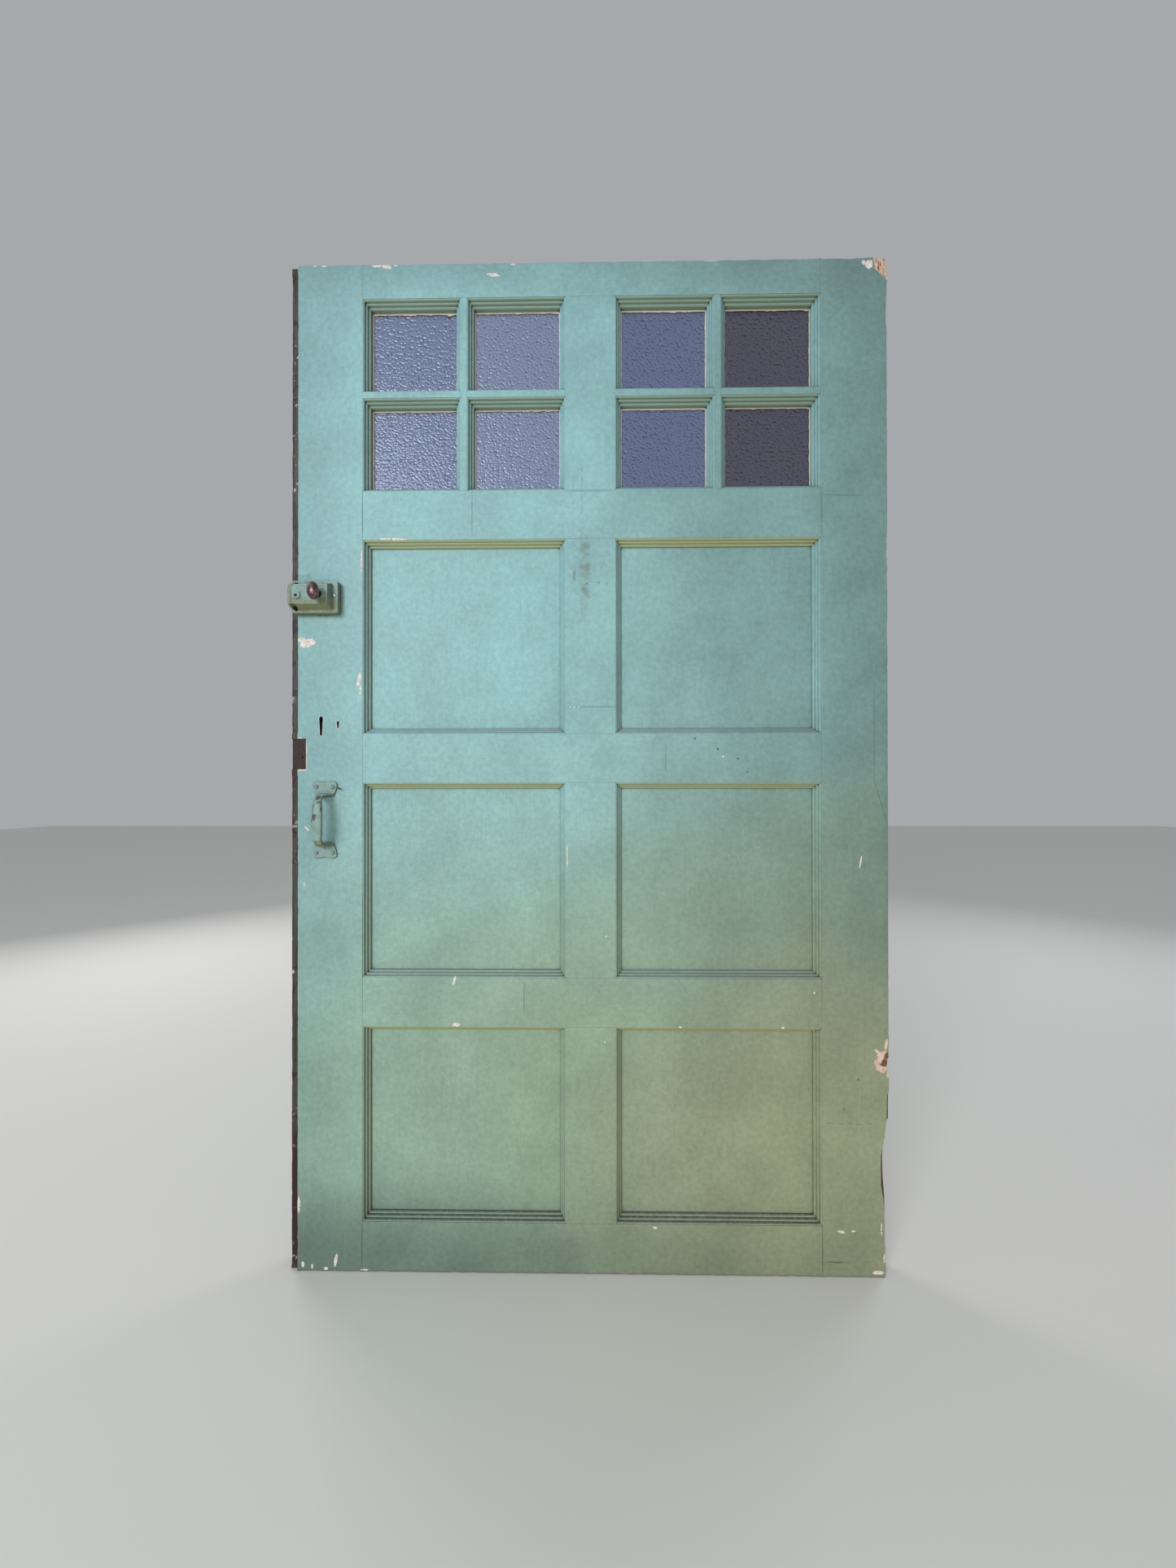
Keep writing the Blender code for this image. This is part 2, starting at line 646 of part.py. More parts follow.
def make_screw(name, x, z, seat, paint, length=SCREW_SHANK_LENGTH, turn=0.0):
    """A slotted round-head screw, its head on the seat's projection and its shank behind it."""
    base = -seat - RUNNING_GAP
    top = base - SCREW_HEAD_HEIGHT
    screw = rod(name, SCREW_HEAD_RADIUS * 0.72, x, z, (top, base), paint, SCREW_HEAD_RADIUS, 16)
    shank_range = (base - SCREW_HEAD_HEIGHT / 2, base + length)
    shank = rod(f"{name}_shank", SCREW_SHANK_RADIUS, x, z, shank_range, segments=12)
    combine(screw, shank, "UNION")
    half, slot = SCREW_HEAD_RADIUS + 0.001, SCREW_SLOT / 2
    outline = []
    for along, over in ((-half, -slot), (half, -slot), (half, slot), (-half, slot)):
        turned = (along * math.cos(turn) - over * math.sin(turn), along * math.sin(turn) + over * math.cos(turn))
        outline.append((x + turned[0], z + turned[1]))
    combine(screw, slab(f"{name}_slot", outline, top - 0.001, top + SCREW_SLOT))


def bore_for_screw(targets, name, x, z, seat, length=SCREW_SHANK_LENGTH):
    """The clearance hole of one screw, through what it fixes and on into the stile."""
    end = -seat - RUNNING_GAP + length + RUNNING_GAP
    hole = rod(f"{name}_hole", SCREW_SHANK_RADIUS + RUNNING_GAP, x, z, (-seat - CUT_OVERRUN, end), segments=12)
    for target in targets:
        combine(target, hole)


def raised_body(name, base, top, projections, paint=None):
    """A block with bevelled sides. Base and top are (low x, high x, low z, high z)."""
    rim = Light(name, *base, False)
    form = bmesh.new()
    bmesh.ops.create_cube(form, size=0.001)
    middle = ((rim.x0 + rim.x1) / 2, 0.0, (rim.z0 + rim.z1) / 2)
    bmesh.ops.translate(form, vec=middle, verts=form.verts[:])
    for vert in form.verts:
        x0, x1, z0, z1 = base if vert.co.y > 0 else top
        vert.co.x = x1 if vert.co.x > middle[0] else x0
        vert.co.z = z1 if vert.co.z > middle[2] else z0
        vert.co.y = FRONT - (projections[0] if vert.co.y > 0 else projections[1])
    return add_object(name, mesh_from(form, name), paint)


def rounded_rectangle(x0, x1, z0, z1, radius, steps=4):
    """A rectangle's outline with round right-hand corners and square left-hand ones."""
    points = [(x0, z0)]
    for cx, cz, start in ((x1 - radius, z0 + radius, -math.pi / 2), (x1 - radius, z1 - radius, 0.0)):
        for k in range(steps + 1):
            angle = start + math.pi / 2 * k / steps
            points.append((cx + radius * math.cos(angle), cz + radius * math.sin(angle)))
    return points + [(x0, z1)]


def make_lock_case():
    """The cast case: a base with round ends, a bevelled body on it, hollow behind."""
    x0 = face_edge(LOCK_LEFT)
    x1 = x0 + LOCK_LENGTH
    half, body_half = LOCK_HEIGHT / 2, LOCK_BODY_HEIGHT / 2
    low, high = LOCK_Z - half, LOCK_Z + half
    base, body, wall = LOCK_BASE_PROJECTION, LOCK_BODY_PROJECTION, LOCK_WALL
    seat = -JOINT_GAP
    outline = rounded_rectangle(x0, x1, low, high, LOCK_CORNER_RADIUS)
    case = slab("lock_case", outline, -base, seat, "painted_casting")
    body_end = x0 + LOCK_BODY_LENGTH
    top = (x0, body_end, LOCK_Z - body_half, LOCK_Z + body_half)
    spread = body_half + LOCK_BEVEL
    foot = (x0, body_end + LOCK_END_BEVEL, LOCK_Z - spread, LOCK_Z + spread)
    combine(case, raised_body("lock_body", foot, top, (base - wall, body)), "UNION")
    inner = (x0 + wall, x1 - wall, low + wall, high - wall)
    depths = (-(base - wall), CUT_OVERRUN)
    combine(case, box("lock_base_hollow", inner[:2], depths, inner[2:]))
    inner_x = (x0 + wall, body_end - wall)
    inner_z = (LOCK_Z - body_half + wall, LOCK_Z + body_half - wall)
    combine(case, box("lock_body_hollow", inner_x, (-(body - wall), CUT_OVERRUN), inner_z))
    field = LOCK_FIELD_INSET
    field_x = (x0 + field, body_end - field)
    field_z = (LOCK_Z - body_half + field * 0.8, LOCK_Z + body_half - field * 0.8)
    field_depth = (-body - CUT_OVERRUN, -body + LOCK_FIELD_DEPTH)
    combine(case, box("lock_field", field_x, field_depth, field_z))
    through = (-body - CUT_OVERRUN, CUT_OVERRUN)
    for side in (-1, 1):
        z = LOCK_Z + side * LOCK_FIXING_RISE
        name = f"lock_fixing_{'upper' if side > 0 else 'lower'}"
        combine(case, rod(name, LOCK_FIXING_RADIUS, face_edge(LOCK_FIXING_INSET), z, through))
    front = (-body - CUT_OVERRUN, -body + wall + CUT_OVERRUN)
    cylinder_hole = KEY_CYLINDER_RADIUS + RUNNING_GAP
    cylinder_z = LOCK_Z - KEY_CYLINDER_DROP
    combine(case, rod("cylinder_hole", cylinder_hole, face_edge(KEY_CYLINDER_INSET), cylinder_z, front))
    spindle_hole = SPINDLE_RADIUS + RUNNING_GAP
    combine(case, rod("spindle_hole", spindle_hole, face_edge(KNOB_INSET), LOCK_Z, front))
    slot_half = BOLT_HEIGHT / 2 + RUNNING_GAP
    slot_depths = (-BOLT_PROJECTION - BOLT_THICKNESS / 2 - RUNNING_GAP,
                   -BOLT_PROJECTION + BOLT_THICKNESS / 2 + RUNNING_GAP)
    slot_x = (x0 - CUT_OVERRUN, x0 + wall + CUT_OVERRUN)
    combine(case, box("bolt_slot", slot_x, slot_depths, (LOCK_Z - slot_half, LOCK_Z + slot_half)))
    return case


def make_lock_bolt():
    """The latch bolt, drawn back flush with the case's end, its nose bevelled."""
    x0 = face_edge(LOCK_LEFT)
    near, far = -BOLT_PROJECTION - BOLT_THICKNESS / 2, -BOLT_PROJECTION + BOLT_THICKNESS / 2
    heights = (LOCK_Z - BOLT_HEIGHT / 2, LOCK_Z + BOLT_HEIGHT / 2)
    bolt = box("lock_bolt", (x0, x0 + BOLT_LENGTH), (near, far), heights, "steel")
    nose = Vector((x0, FRONT - BOLT_PROJECTION, LOCK_Z))
    bolt.data.transform(Matrix.Translation(-nose))
    bolt.location = nose
    wedge = [(x0 - 0.001, 0.001), (x0 - 0.001, -BOLT_THICKNESS * 0.7), (x0 + BOLT_NOSE, 0.001)]
    form = bmesh.new()
    corners = []
    for z in (heights[0] - 0.001, heights[1] + 0.001):
        corners.append([form.verts.new((x, FRONT + far + back, z)) for x, back in wedge])
    lower = form.faces.new(corners[0])
    upper = form.faces.new(corners[1])
    bmesh.ops.bridge_loops(form, edges=list(lower.edges) + list(upper.edges))
    combine(bolt, add_object("bolt_bevel", mesh_from(form, "bolt_bevel")))


def make_key_cylinder():
    """The round key cylinder, with a keyhole sunk in its face."""
    x, z = face_edge(KEY_CYLINDER_INSET), LOCK_Z - KEY_CYLINDER_DROP
    front = -LOCK_BODY_PROJECTION - KEY_CYLINDER_PROUD
    depths = (front, front + KEY_CYLINDER_LENGTH)
    cylinder = rod("lock_cylinder", KEY_CYLINDER_RADIUS, x, z, depths, "painted_casting")
    sunk = (front - CUT_OVERRUN, front + KEY_CYLINDER_LENGTH / 2)
    eye_z = z + KEYHOLE_LEG / 4
    combine(cylinder, rod("keyhole_eye", KEYHOLE_RADIUS, x, eye_z, sunk, segments=16))
    half = KEYHOLE_RADIUS / 2
    combine(cylinder, box("keyhole_leg", (x - half, x + half), sunk, (eye_z - KEYHOLE_LEG, eye_z)))


def make_knob():
    """The oval knob, its neck and collar, and the spindle that turns in the case."""
    x = face_edge(KNOB_INSET)
    centre = (x, FRONT - KNOB_PROJECTION, LOCK_Z)
    knob = ellipsoid("lock_knob", KNOB_SIZE, centre, KNOB_TILT, "bronze")
    collar_top = LOCK_BODY_PROJECTION + 0.005
    collar = (-collar_top, -LOCK_BODY_PROJECTION + LOCK_FIELD_DEPTH - RUNNING_GAP)
    neck = (-KNOB_PROJECTION, -collar_top + 0.001)
    tail = (-collar_top + 0.001, -LOCK_BODY_PROJECTION + LOCK_WALL + SPINDLE_TAIL)
    for name, radius, depths, end in (
        ("knob_neck", KNOB_NECK_RADIUS, neck, KNOB_NECK_RADIUS * 1.2),
        ("knob_collar", KNOB_COLLAR_RADIUS * 0.8, collar, KNOB_COLLAR_RADIUS),
        ("knob_spindle", SPINDLE_RADIUS, tail, SPINDLE_RADIUS),
    ):
        combine(knob, rod(name, radius, x, LOCK_Z, depths, end_radius=end), "UNION")


def handle_plate(name, centre_z, outward):
    """One end plate of the handle, its outer edge dipping between two lobes."""
    half_width, half_height = HANDLE_PLATE_WIDTH / 2, HANDLE_PLATE_HEIGHT / 2
    corner = half_height * 0.55
    outline = []
    for sign in (1, -1):
        for k in range(5):
            angle = math.pi / 2 * (k if sign > 0 else 4 - k) / 4
            across = half_width - corner + corner * math.cos(angle)
            rise = half_height - corner + corner * math.sin(angle)
            outline.append((HANDLE_X + sign * across, centre_z + outward * rise))
        if sign > 0:
            dip = half_height - HANDLE_LOBE
            outline.append((HANDLE_X, centre_z + outward * dip))
    for sign in (-1, 1):
        foot = half_width * 0.86 * sign
        waist = half_width * 0.60 * sign
        pair = [(foot, -half_height * 0.45), (waist, -half_height)]
        for across, rise in pair if sign < 0 else reversed(pair):
            outline.append((HANDLE_X + across, centre_z + outward * rise))
    return slab(name, outline, -HANDLE_PLATE_THICKNESS - JOINT_GAP, -JOINT_GAP, None)


def grip_sections():
    """The grip's sections from the upper plate to the lower: (z, out, lean, width, depth).

    Each arm leaves its plate square, as wide as the plate's waist, and narrows as it bends into
    the grip, which bows and widens towards its middle. Lean turns from 0 at the plate to a
    right angle along the grip.
    """
    reach = HANDLE_LENGTH / 2 - HANDLE_PLATE_HEIGHT + ARM_THICKNESS * 0.2
    shoulder = GRIP_PROJECTION - GRIP_BOW
    neck, quarter = GRIP_NECK_WIDTH, math.pi / 2
    flare = ARM_FOOT_WIDTH - neck
    sections = [
        (reach, HANDLE_PLATE_THICKNESS * 0.4, 0.0, ARM_FOOT_WIDTH, ARM_THICKNESS),
        (reach, HANDLE_PLATE_THICKNESS + 0.003, 0.0, neck + flare * 0.72, ARM_THICKNESS),
        (reach - 0.0005, shoulder * 0.42, 0.08, neck + flare * 0.34, ARM_THICKNESS),
        (reach - 0.0020, shoulder * 0.68, 0.24, neck + flare * 0.10, ARM_THICKNESS * 1.03),
        (reach - 0.0058, shoulder * 0.88, 0.52, neck, ARM_THICKNESS * 1.08),
        (reach - 0.0125, shoulder * 0.985, 0.82, neck, GRIP_DEPTH * 0.90),
    ]
    grip = reach - 0.0125
    for k in range(1, 5):
        swell = math.sin(quarter * k / 4)
        width = neck + (GRIP_WIDTH - neck) * swell
        out = shoulder + GRIP_BOW * swell
        lean = 0.90 + 0.10 * k / 4
        sections.append((grip * (1 - k / 4), out, lean, width, GRIP_DEPTH * (0.92 + 0.08 * swell)))
    sections = [(z, out, lean * quarter, width, depth) for z, out, lean, width, depth in sections]
    lower = [(-z, out, math.pi - lean, width, depth) for z, out, lean, width, depth in sections[:-1]]
    return sections + lower[::-1]


def loft_grip(name, paint):
    """A solid through the grip's oval sections, with its origin in the middle of the handle."""
    form = bmesh.new()
    rings = []
    for z, out, lean, width, depth in grip_sections():
        ring = []
        for k in range(GRIP_SEGMENTS):
            angle = 2 * math.pi * k / GRIP_SEGMENTS
            across = width / 2 * math.copysign(abs(math.cos(angle)) ** GRIP_SQUARENESS, math.cos(angle))
            over = depth / 2 * math.copysign(abs(math.sin(angle)) ** GRIP_SQUARENESS, math.sin(angle))
            ring.append(form.verts.new((across, -out - over * math.sin(lean), z + over * math.cos(lean))))
        rings.append(ring)
    for ring, following in zip(rings, rings[1:]):
        for k in range(GRIP_SEGMENTS):
            after = (k + 1) % GRIP_SEGMENTS
            form.faces.new((ring[k], ring[after], following[after], following[k]))
    form.faces.new(rings[0])
    form.faces.new(rings[-1])
    obj = add_object(name, mesh_from(form, name), paint)
    obj.location = (HANDLE_X, FRONT, HANDLE_Z)
    return obj


def make_handle():
    """The cast pull: an oval grip between two screwed plates, all one casting."""
    offset = HANDLE_LENGTH / 2 - HANDLE_PLATE_HEIGHT / 2
    upper = handle_plate("handle_plate_upper", HANDLE_Z + offset, 1)
    lower = handle_plate("handle_plate_lower", HANDLE_Z - offset, -1)
    handle = loft_grip("pull_handle", "painted_casting")
    combine(handle, upper, "UNION")
    combine(handle, lower, "UNION")
    return handle


def handle_screws():
    """Name, x and z of each of the handle's four screws."""
    rise = HANDLE_LENGTH / 2 - HANDLE_SCREW_FROM_END
    found = []
    for number, (across, up) in enumerate([(-1, 1), (1, 1), (-1, -1), (1, -1)]):
        x = HANDLE_X + across * HANDLE_SCREW_SPACING / 2
        found.append((f"handle_screw_{number + 1}", x, HANDLE_Z + up * rise))
    return found


def make_nail(stile):
    """A nail driven in beside the handle and bent over."""
    x = HANDLE_X + HANDLE_PLATE_WIDTH / 2 + NAIL_RADIUS + NAIL_CLEARANCE
    z = HANDLE_Z + HANDLE_LENGTH / 2 - NAIL_FROM_END
    curve = bpy.data.curves.new("bent_nail", "CURVE")
    curve.dimensions = "3D"
    curve.bevel_depth = NAIL_RADIUS
    curve.bevel_resolution = 2
    curve.use_fill_caps = True
    route = [(0.0, NAIL_IN, 0.0), (0.0, -0.0015, 0.0), (0.0007, -0.003, -0.0002),
             (0.002, -0.0042, -0.0005), (NAIL_OUT, -0.0065, -0.0016)]
    spline = curve.splines.new("POLY")
    spline.points.add(len(route) - 1)
    for point, (across, back, up) in zip(spline.points, route):
        point.co = (across, back, up, 1.0)
    guide = bpy.data.objects.new("nail_guide", curve)
    guide.location = (x, FRONT, z)
    mesh_of_curve(guide, "bent_nail", "rusty_iron")
    hole = (-CUT_OVERRUN, NAIL_IN + RUNNING_GAP)
    combine(stile, rod("nail_hole", NAIL_RADIUS + RUNNING_GAP, x, z, hole, segments=12))


def make_door():
    lights = make_lights()
    hollows = {k.name: ring_solid(f"{k.name}_hollow", k, light_profile(k)) for k in lights}
    members = make_members(lights, hollows)
    make_fillings(lights)
    lock_stile = members["lock_stile"]
    cut_meeting_edge(lock_stile)
    cut_slit(lock_stile, "wide_slit", WIDE_SLIT)
    cut_slit(lock_stile, "narrow_slit", NARROW_SLIT)
    wear_hinge_edge(members["hinge_stile"])
    case = make_lock_case()
    make_lock_bolt()
    make_key_cylinder()
    make_knob()
    place = (face_edge(LOCK_SCREW_INSET), LOCK_Z + LOCK_SCREW_RISE, LOCK_BASE_PROJECTION)
    make_screw("lock_screw", *place, "steel", LOCK_SCREW_LENGTH, LOCK_SCREW_TURN)
    bore_for_screw((case, lock_stile), "lock_screw", *place, LOCK_SCREW_LENGTH)
    handle = make_handle()
    seat = HANDLE_PLATE_THICKNESS + JOINT_GAP
    for (name, x, z), turn in zip(handle_screws(), HANDLE_SCREW_TURNS):
        make_screw(name, x, z, seat, "painted_casting", turn=turn)
        bore_for_screw((handle, lock_stile), name, x, z, seat)
    make_nail(lock_stile)


make_door()
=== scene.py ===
"""Looks of the garage door leaf: weathered paint, hammered glass, worn ironmongery and broken timber.

Metres, in the frame of the solids: +X runs to the hinge edge, the inner face looks along -Y, and the
origin is the centre of the hinge edge. Places on the inner face are given in millimetres from its top
left corner.
"""

import math

import bmesh
import bpy
import numpy as np
from mathutils import Euler, Matrix, Vector, noise


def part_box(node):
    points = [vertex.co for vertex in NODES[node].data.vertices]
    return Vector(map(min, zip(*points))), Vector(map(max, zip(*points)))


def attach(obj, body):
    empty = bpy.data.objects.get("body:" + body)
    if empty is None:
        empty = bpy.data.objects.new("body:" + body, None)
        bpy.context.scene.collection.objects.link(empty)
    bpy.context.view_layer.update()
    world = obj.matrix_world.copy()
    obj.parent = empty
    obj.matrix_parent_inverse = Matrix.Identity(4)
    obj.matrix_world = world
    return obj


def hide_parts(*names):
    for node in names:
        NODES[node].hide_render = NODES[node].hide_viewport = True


for spare in ("Cube", "Camera", "Light"):
    if spare in bpy.data.objects:
        bpy.data.objects.remove(bpy.data.objects[spare], do_unlink=True)
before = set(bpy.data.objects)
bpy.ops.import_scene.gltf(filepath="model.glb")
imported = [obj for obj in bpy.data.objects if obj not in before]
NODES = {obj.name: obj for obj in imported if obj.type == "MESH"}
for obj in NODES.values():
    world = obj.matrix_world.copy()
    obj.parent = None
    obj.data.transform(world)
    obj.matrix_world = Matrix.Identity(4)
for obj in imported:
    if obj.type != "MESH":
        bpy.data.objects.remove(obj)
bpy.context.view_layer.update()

# The leaf's sizes, as the solids have them
LEAF_WIDTH = 1.219
LEAF_TOP = 1.045
HALF_THICK = 0.022
FRONT = -HALF_THICK
BACK = HALF_THICK
STILE_WIDTH = 0.136

# The foot of the lock's front
LOCK_FOOT = 0.3375

# Paint and timber, as linear colours
TEAL = (0.300, 0.535, 0.555)
SEA_GREEN = (0.290, 0.430, 0.335)
OLIVE = (0.315, 0.345, 0.215)
# Painted warm light from below, on down-facing faces
UNDERLIGHT_OLIVE = (0.400, 0.395, 0.160)
# Dust on up-facing ledges, with a painted cool sky light on them
DUST_AND_SKYLIGHT = (0.250, 0.285, 0.310)
# Grime in specks, and the painted shade in corners and cracks
GRIME_AND_SHADE = (0.075, 0.070, 0.045)
PRIMER = (0.740, 0.610, 0.545)
WHITE_CHIP = (0.820, 0.820, 0.800)
OLD_WOOD = (0.036, 0.015, 0.014)
# Near-black painted over the splintered recess in the right-hand edge
RECESS_BLACK = (0.012, 0.009, 0.008)


def place(across, down, out=0.0):
    """A point on the inner face, from millimetres across and down, and metres out of the face."""
    return Vector((across / 1000 - LEAF_WIDTH, FRONT - out, LEAF_TOP - down / 1000))


class Net:
    """A material's nodes, put together by short calls."""

    def __init__(self, name):
        self.material = bpy.data.materials.new(name)
        self.material.use_nodes = True
        self.tree = self.material.node_tree
        self.tree.nodes.clear()
        self.object_place = self.add("ShaderNodeTexCoord").outputs["Object"]
        self.split = self.add("ShaderNodeSeparateXYZ")
        self.put(self.split.inputs[0], self.object_place)
        self.x, self.y, self.z = self.split.outputs

    def add(self, kind, **settings):
        node = self.tree.nodes.new(kind)
        for key, value in settings.items():
            setattr(node, key, value)
        return node

    def put(self, socket, value):
        if isinstance(value, bpy.types.NodeSocket):
            self.tree.links.new(value, socket)
        elif isinstance(value, tuple) and len(value) == 3 and socket.type == "RGBA":
            socket.default_value = (*value, 1.0)
        else:
            socket.default_value = value

    def math(self, operation, a, b=0.0, clamp=False):
        node = self.add("ShaderNodeMath", operation=operation, use_clamp=clamp)
        self.put(node.inputs[0], a)
        self.put(node.inputs[1], b)
        return node.outputs[0]

    def scaled(self, vector, scale):
        node = self.add("ShaderNodeVectorMath", operation="MULTIPLY")
        self.put(node.inputs[0], vector)
        node.inputs[1].default_value = scale
        return node.outputs[0]

    def noise(self, scale, detail=3.0, roughness=0.55, vector=None):
        node = self.add("ShaderNodeTexNoise")
        self.put(node.inputs["Vector"], self.object_place if vector is None else vector)
        node.inputs["Scale"].default_value = scale
        node.inputs["Detail"].default_value = detail
        node.inputs["Roughness"].default_value = roughness
        return node.outputs[0]

    def swing(self, scale, amount):
        """A noise that swings round nought."""
        return self.math("MULTIPLY", self.math("SUBTRACT", self.noise(scale, 3.0), 0.5), amount)

    def remap(self, value, low, high, out_low=0.0, out_high=1.0, smooth=True):
        node = self.add("ShaderNodeMapRange")
        node.interpolation_type = "SMOOTHSTEP" if smooth else "LINEAR"
        self.put(node.inputs["Value"], value)
        bounds = {"From Min": low, "From Max": high, "To Min": out_low, "To Max": out_high}
        for key, number in bounds.items():
            self.put(node.inputs[key], number)
        return node.outputs[0]

    def mix(self, factor, a, b, blend="MIX"):
        node = self.add("ShaderNodeMix", data_type="RGBA", blend_type=blend)
        self.put(node.inputs["Factor"], factor)
        self.put(node.inputs[6], a)
        self.put(node.inputs[7], b)
        return node.outputs[2]

    def tint(self, colour, factor):
        """The colour multiplied by a factor."""
        grey = self.add("ShaderNodeCombineColor")
        for socket in grey.inputs[:3]:
            self.put(socket, factor)
        return self.mix(1.0, colour, grey.outputs[0], "MULTIPLY")

    def normal_axis(self, axis):
        geometry = self.add("ShaderNodeNewGeometry")
        split = self.add("ShaderNodeSeparateXYZ")
        self.put(split.inputs[0], geometry.outputs["Normal"])
        return split.outputs[axis]

    def attribute(self, name):
        return self.add("ShaderNodeAttribute", attribute_name=name).outputs["Fac"]

    def crevice(self, distance, samples=4):
        """One in corners and cracks, nought on open surfaces."""
        node = self.add("ShaderNodeAmbientOcclusion", samples=samples)
        node.inputs["Distance"].default_value = distance
        return self.math("SUBTRACT", 1.0, node.outputs["AO"])

    def bump(self, height, distance, strength=1.0):
        node = self.add("ShaderNodeBump")
        self.put(node.inputs["Height"], height)
        node.inputs["Distance"].default_value = distance
        node.inputs["Strength"].default_value = strength
        return node.outputs[0]

    def finish(self, colour, roughness, normal=None, metallic=0.0, **fixed):
        shader = self.add("ShaderNodeBsdfPrincipled")
        self.put(shader.inputs["Base Color"], colour)
        self.put(shader.inputs["Roughness"], roughness)
        self.put(shader.inputs["Metallic"], metallic)
        for key, value in fixed.items():
            self.put(shader.inputs[key.replace("_", " ")], value)
        if normal is not None:
            self.put(shader.inputs["Normal"], normal)
        out = self.add("ShaderNodeOutputMaterial")
        self.tree.links.new(shader.outputs[0], out.inputs["Surface"])
        return self.material

    def blots(self, marks, edge=0.35, wobble=0.55, grain=900.0):
        """One inside any of the marks.

        A mark is (across, down, half across, half down), then, where given, its turn in degrees, its
        projection from the inner face and its half depth, in mm.
        """
        if not marks:
            return 0.0
        rough = self.noise(grain, 2.0)
        coarse = self.noise(grain / 5, 2.0)
        ragged = self.math("ADD", self.math("MULTIPLY", rough, wobble),
                           self.math("MULTIPLY", coarse, wobble))
        nearest = None
        for mark in marks:
            across, down, half_x, half_z, turn, out, half_y = (*mark, *(0.0, 0.0, 20.0)[len(mark) - 4:])
            node = self.add("ShaderNodeMapping", vector_type="TEXTURE")
            self.put(node.inputs["Vector"], self.object_place)
            node.inputs["Location"].default_value = place(across, down, out / 1000)
            node.inputs["Rotation"].default_value = (0.0, math.radians(turn), 0.0)
            node.inputs["Scale"].default_value = (half_x / 1000, half_y / 1000, half_z / 1000)
            length = self.add("ShaderNodeVectorMath", operation="LENGTH")
            self.put(length.inputs[0], node.outputs[0])
            reach = length.outputs["Value"]
            nearest = reach if nearest is None else self.math("MINIMUM", nearest, reach)
        nearest = self.math("ADD", nearest, self.math("SUBTRACT", ragged, wobble))
        return self.remap(nearest, 1.0 - edge / 2, 1.0 + edge / 2, 1.0, 0.0)


# Where paint has come off to the primer, on the stiles and rails: across, down, half sizes, turn
PALE_MARKS = [
    (1182.5, 13.5, 8, 9.5, 25), (1172, 10, 3.6, 5, -20), (1219, 113, 2, 36), (1219, 600, 1.8, 44),
    (1219, 664, 1.6, 22), (1219, 768, 1.5, 36), (21, 788, 17, 9, -18), (8, 781, 9, 5),
    (128, 866, 3.6, 17, 12), (131.5, 886, 2.2, 9), (3, 1953, 3.4, 17), (80.7, 2067, 3.2, 13, 10),
    (166, 1, 10, 5), (184, 4, 11.5, 4.6, 14), (205, 1.5, 5, 2.6), (409, 24.7, 14, 3.4, 8),
    (859, 0.5, 25, 2), (35.8, 0.5, 4.6, 3), (54.5, 1, 5, 2.6), (450, 2, 5, 3.5),
    (200.4, 572.4, 34, 2.4, 1), (134, 614, 1.8, 28), (326.8, 1487.7, 2.6, 9.5, 14),
    (331, 1578.5, 8, 4.2), (561.1, 1228, 1.3, 26), (793.6, 1582, 2.8, 2.2), (1003.5, 1582, 2.8, 2.2),
    (740.5, 1993, 5.2, 2.4), (1121.5, 1997.5, 7.6, 3, 12), (1146, 1996, 4.6, 1.8),
    (1162.6, 1242, 1.5, 13, 10), (882.2, 1024.8, 1.8, 2.4), (875.8, 1791.7, 2, 2),
    (1067.5, 1509.7, 2, 2), (638, 1612.8, 1.6, 1.6), (641.6, 1395.2, 1.6, 1.6), (157.7, 1928.4, 3, 6),
    (11.9, 2076, 3.2, 6), (31.4, 2080, 2.6, 4.5), (19.6, 1173.9, 2.2, 7, -48), (568, 922.5, 2, 1.4),
    (576, 922.3, 2, 1.4), (585, 922.6, 1.6, 1.2), (1203, 1991.6, 1.6, 12), (1209, 2051, 2.4, 9),
    (1196, 2080, 12, 4), (60, 2084, 5, 3), (140, 2086, 9, 1.8), (2, 984.5, 6, 1.3, 10),
    (9, 1052.3, 9.5, 1.7), (18.6, 1020, 0.8, 30), (14, 1290, 1.4, 6),
]
# The primer round the gouge on the right-hand edge
GOUGE_MARKS = [
    (1213.5, 1616, 3, 13, 8), (1195, 1629, 6, 3, 38), (1205, 1635, 11, 6.5, -20),
    (1203, 1652, 13.5, 12.5), (1200, 1663, 7.5, 6), (1209, 1667, 9.5, 6.5), (1216.5, 1677, 2.4, 6),
]
# Bare wood inside the gouge on the right-hand edge
WOOD_MARKS = [
    (1214.5, 1640, 5, 9, 15), (1212, 1654, 8, 9, -20), (1205, 1657, 6, 2.2, 30),
]
# The splintered recess in the rotted foot, painted near-black, behind the face of the right-hand edge
SPLINTER_MARKS = [(1214.0, 1794.0, 11.0, 27.5, 0, -10.5, 10.0)]
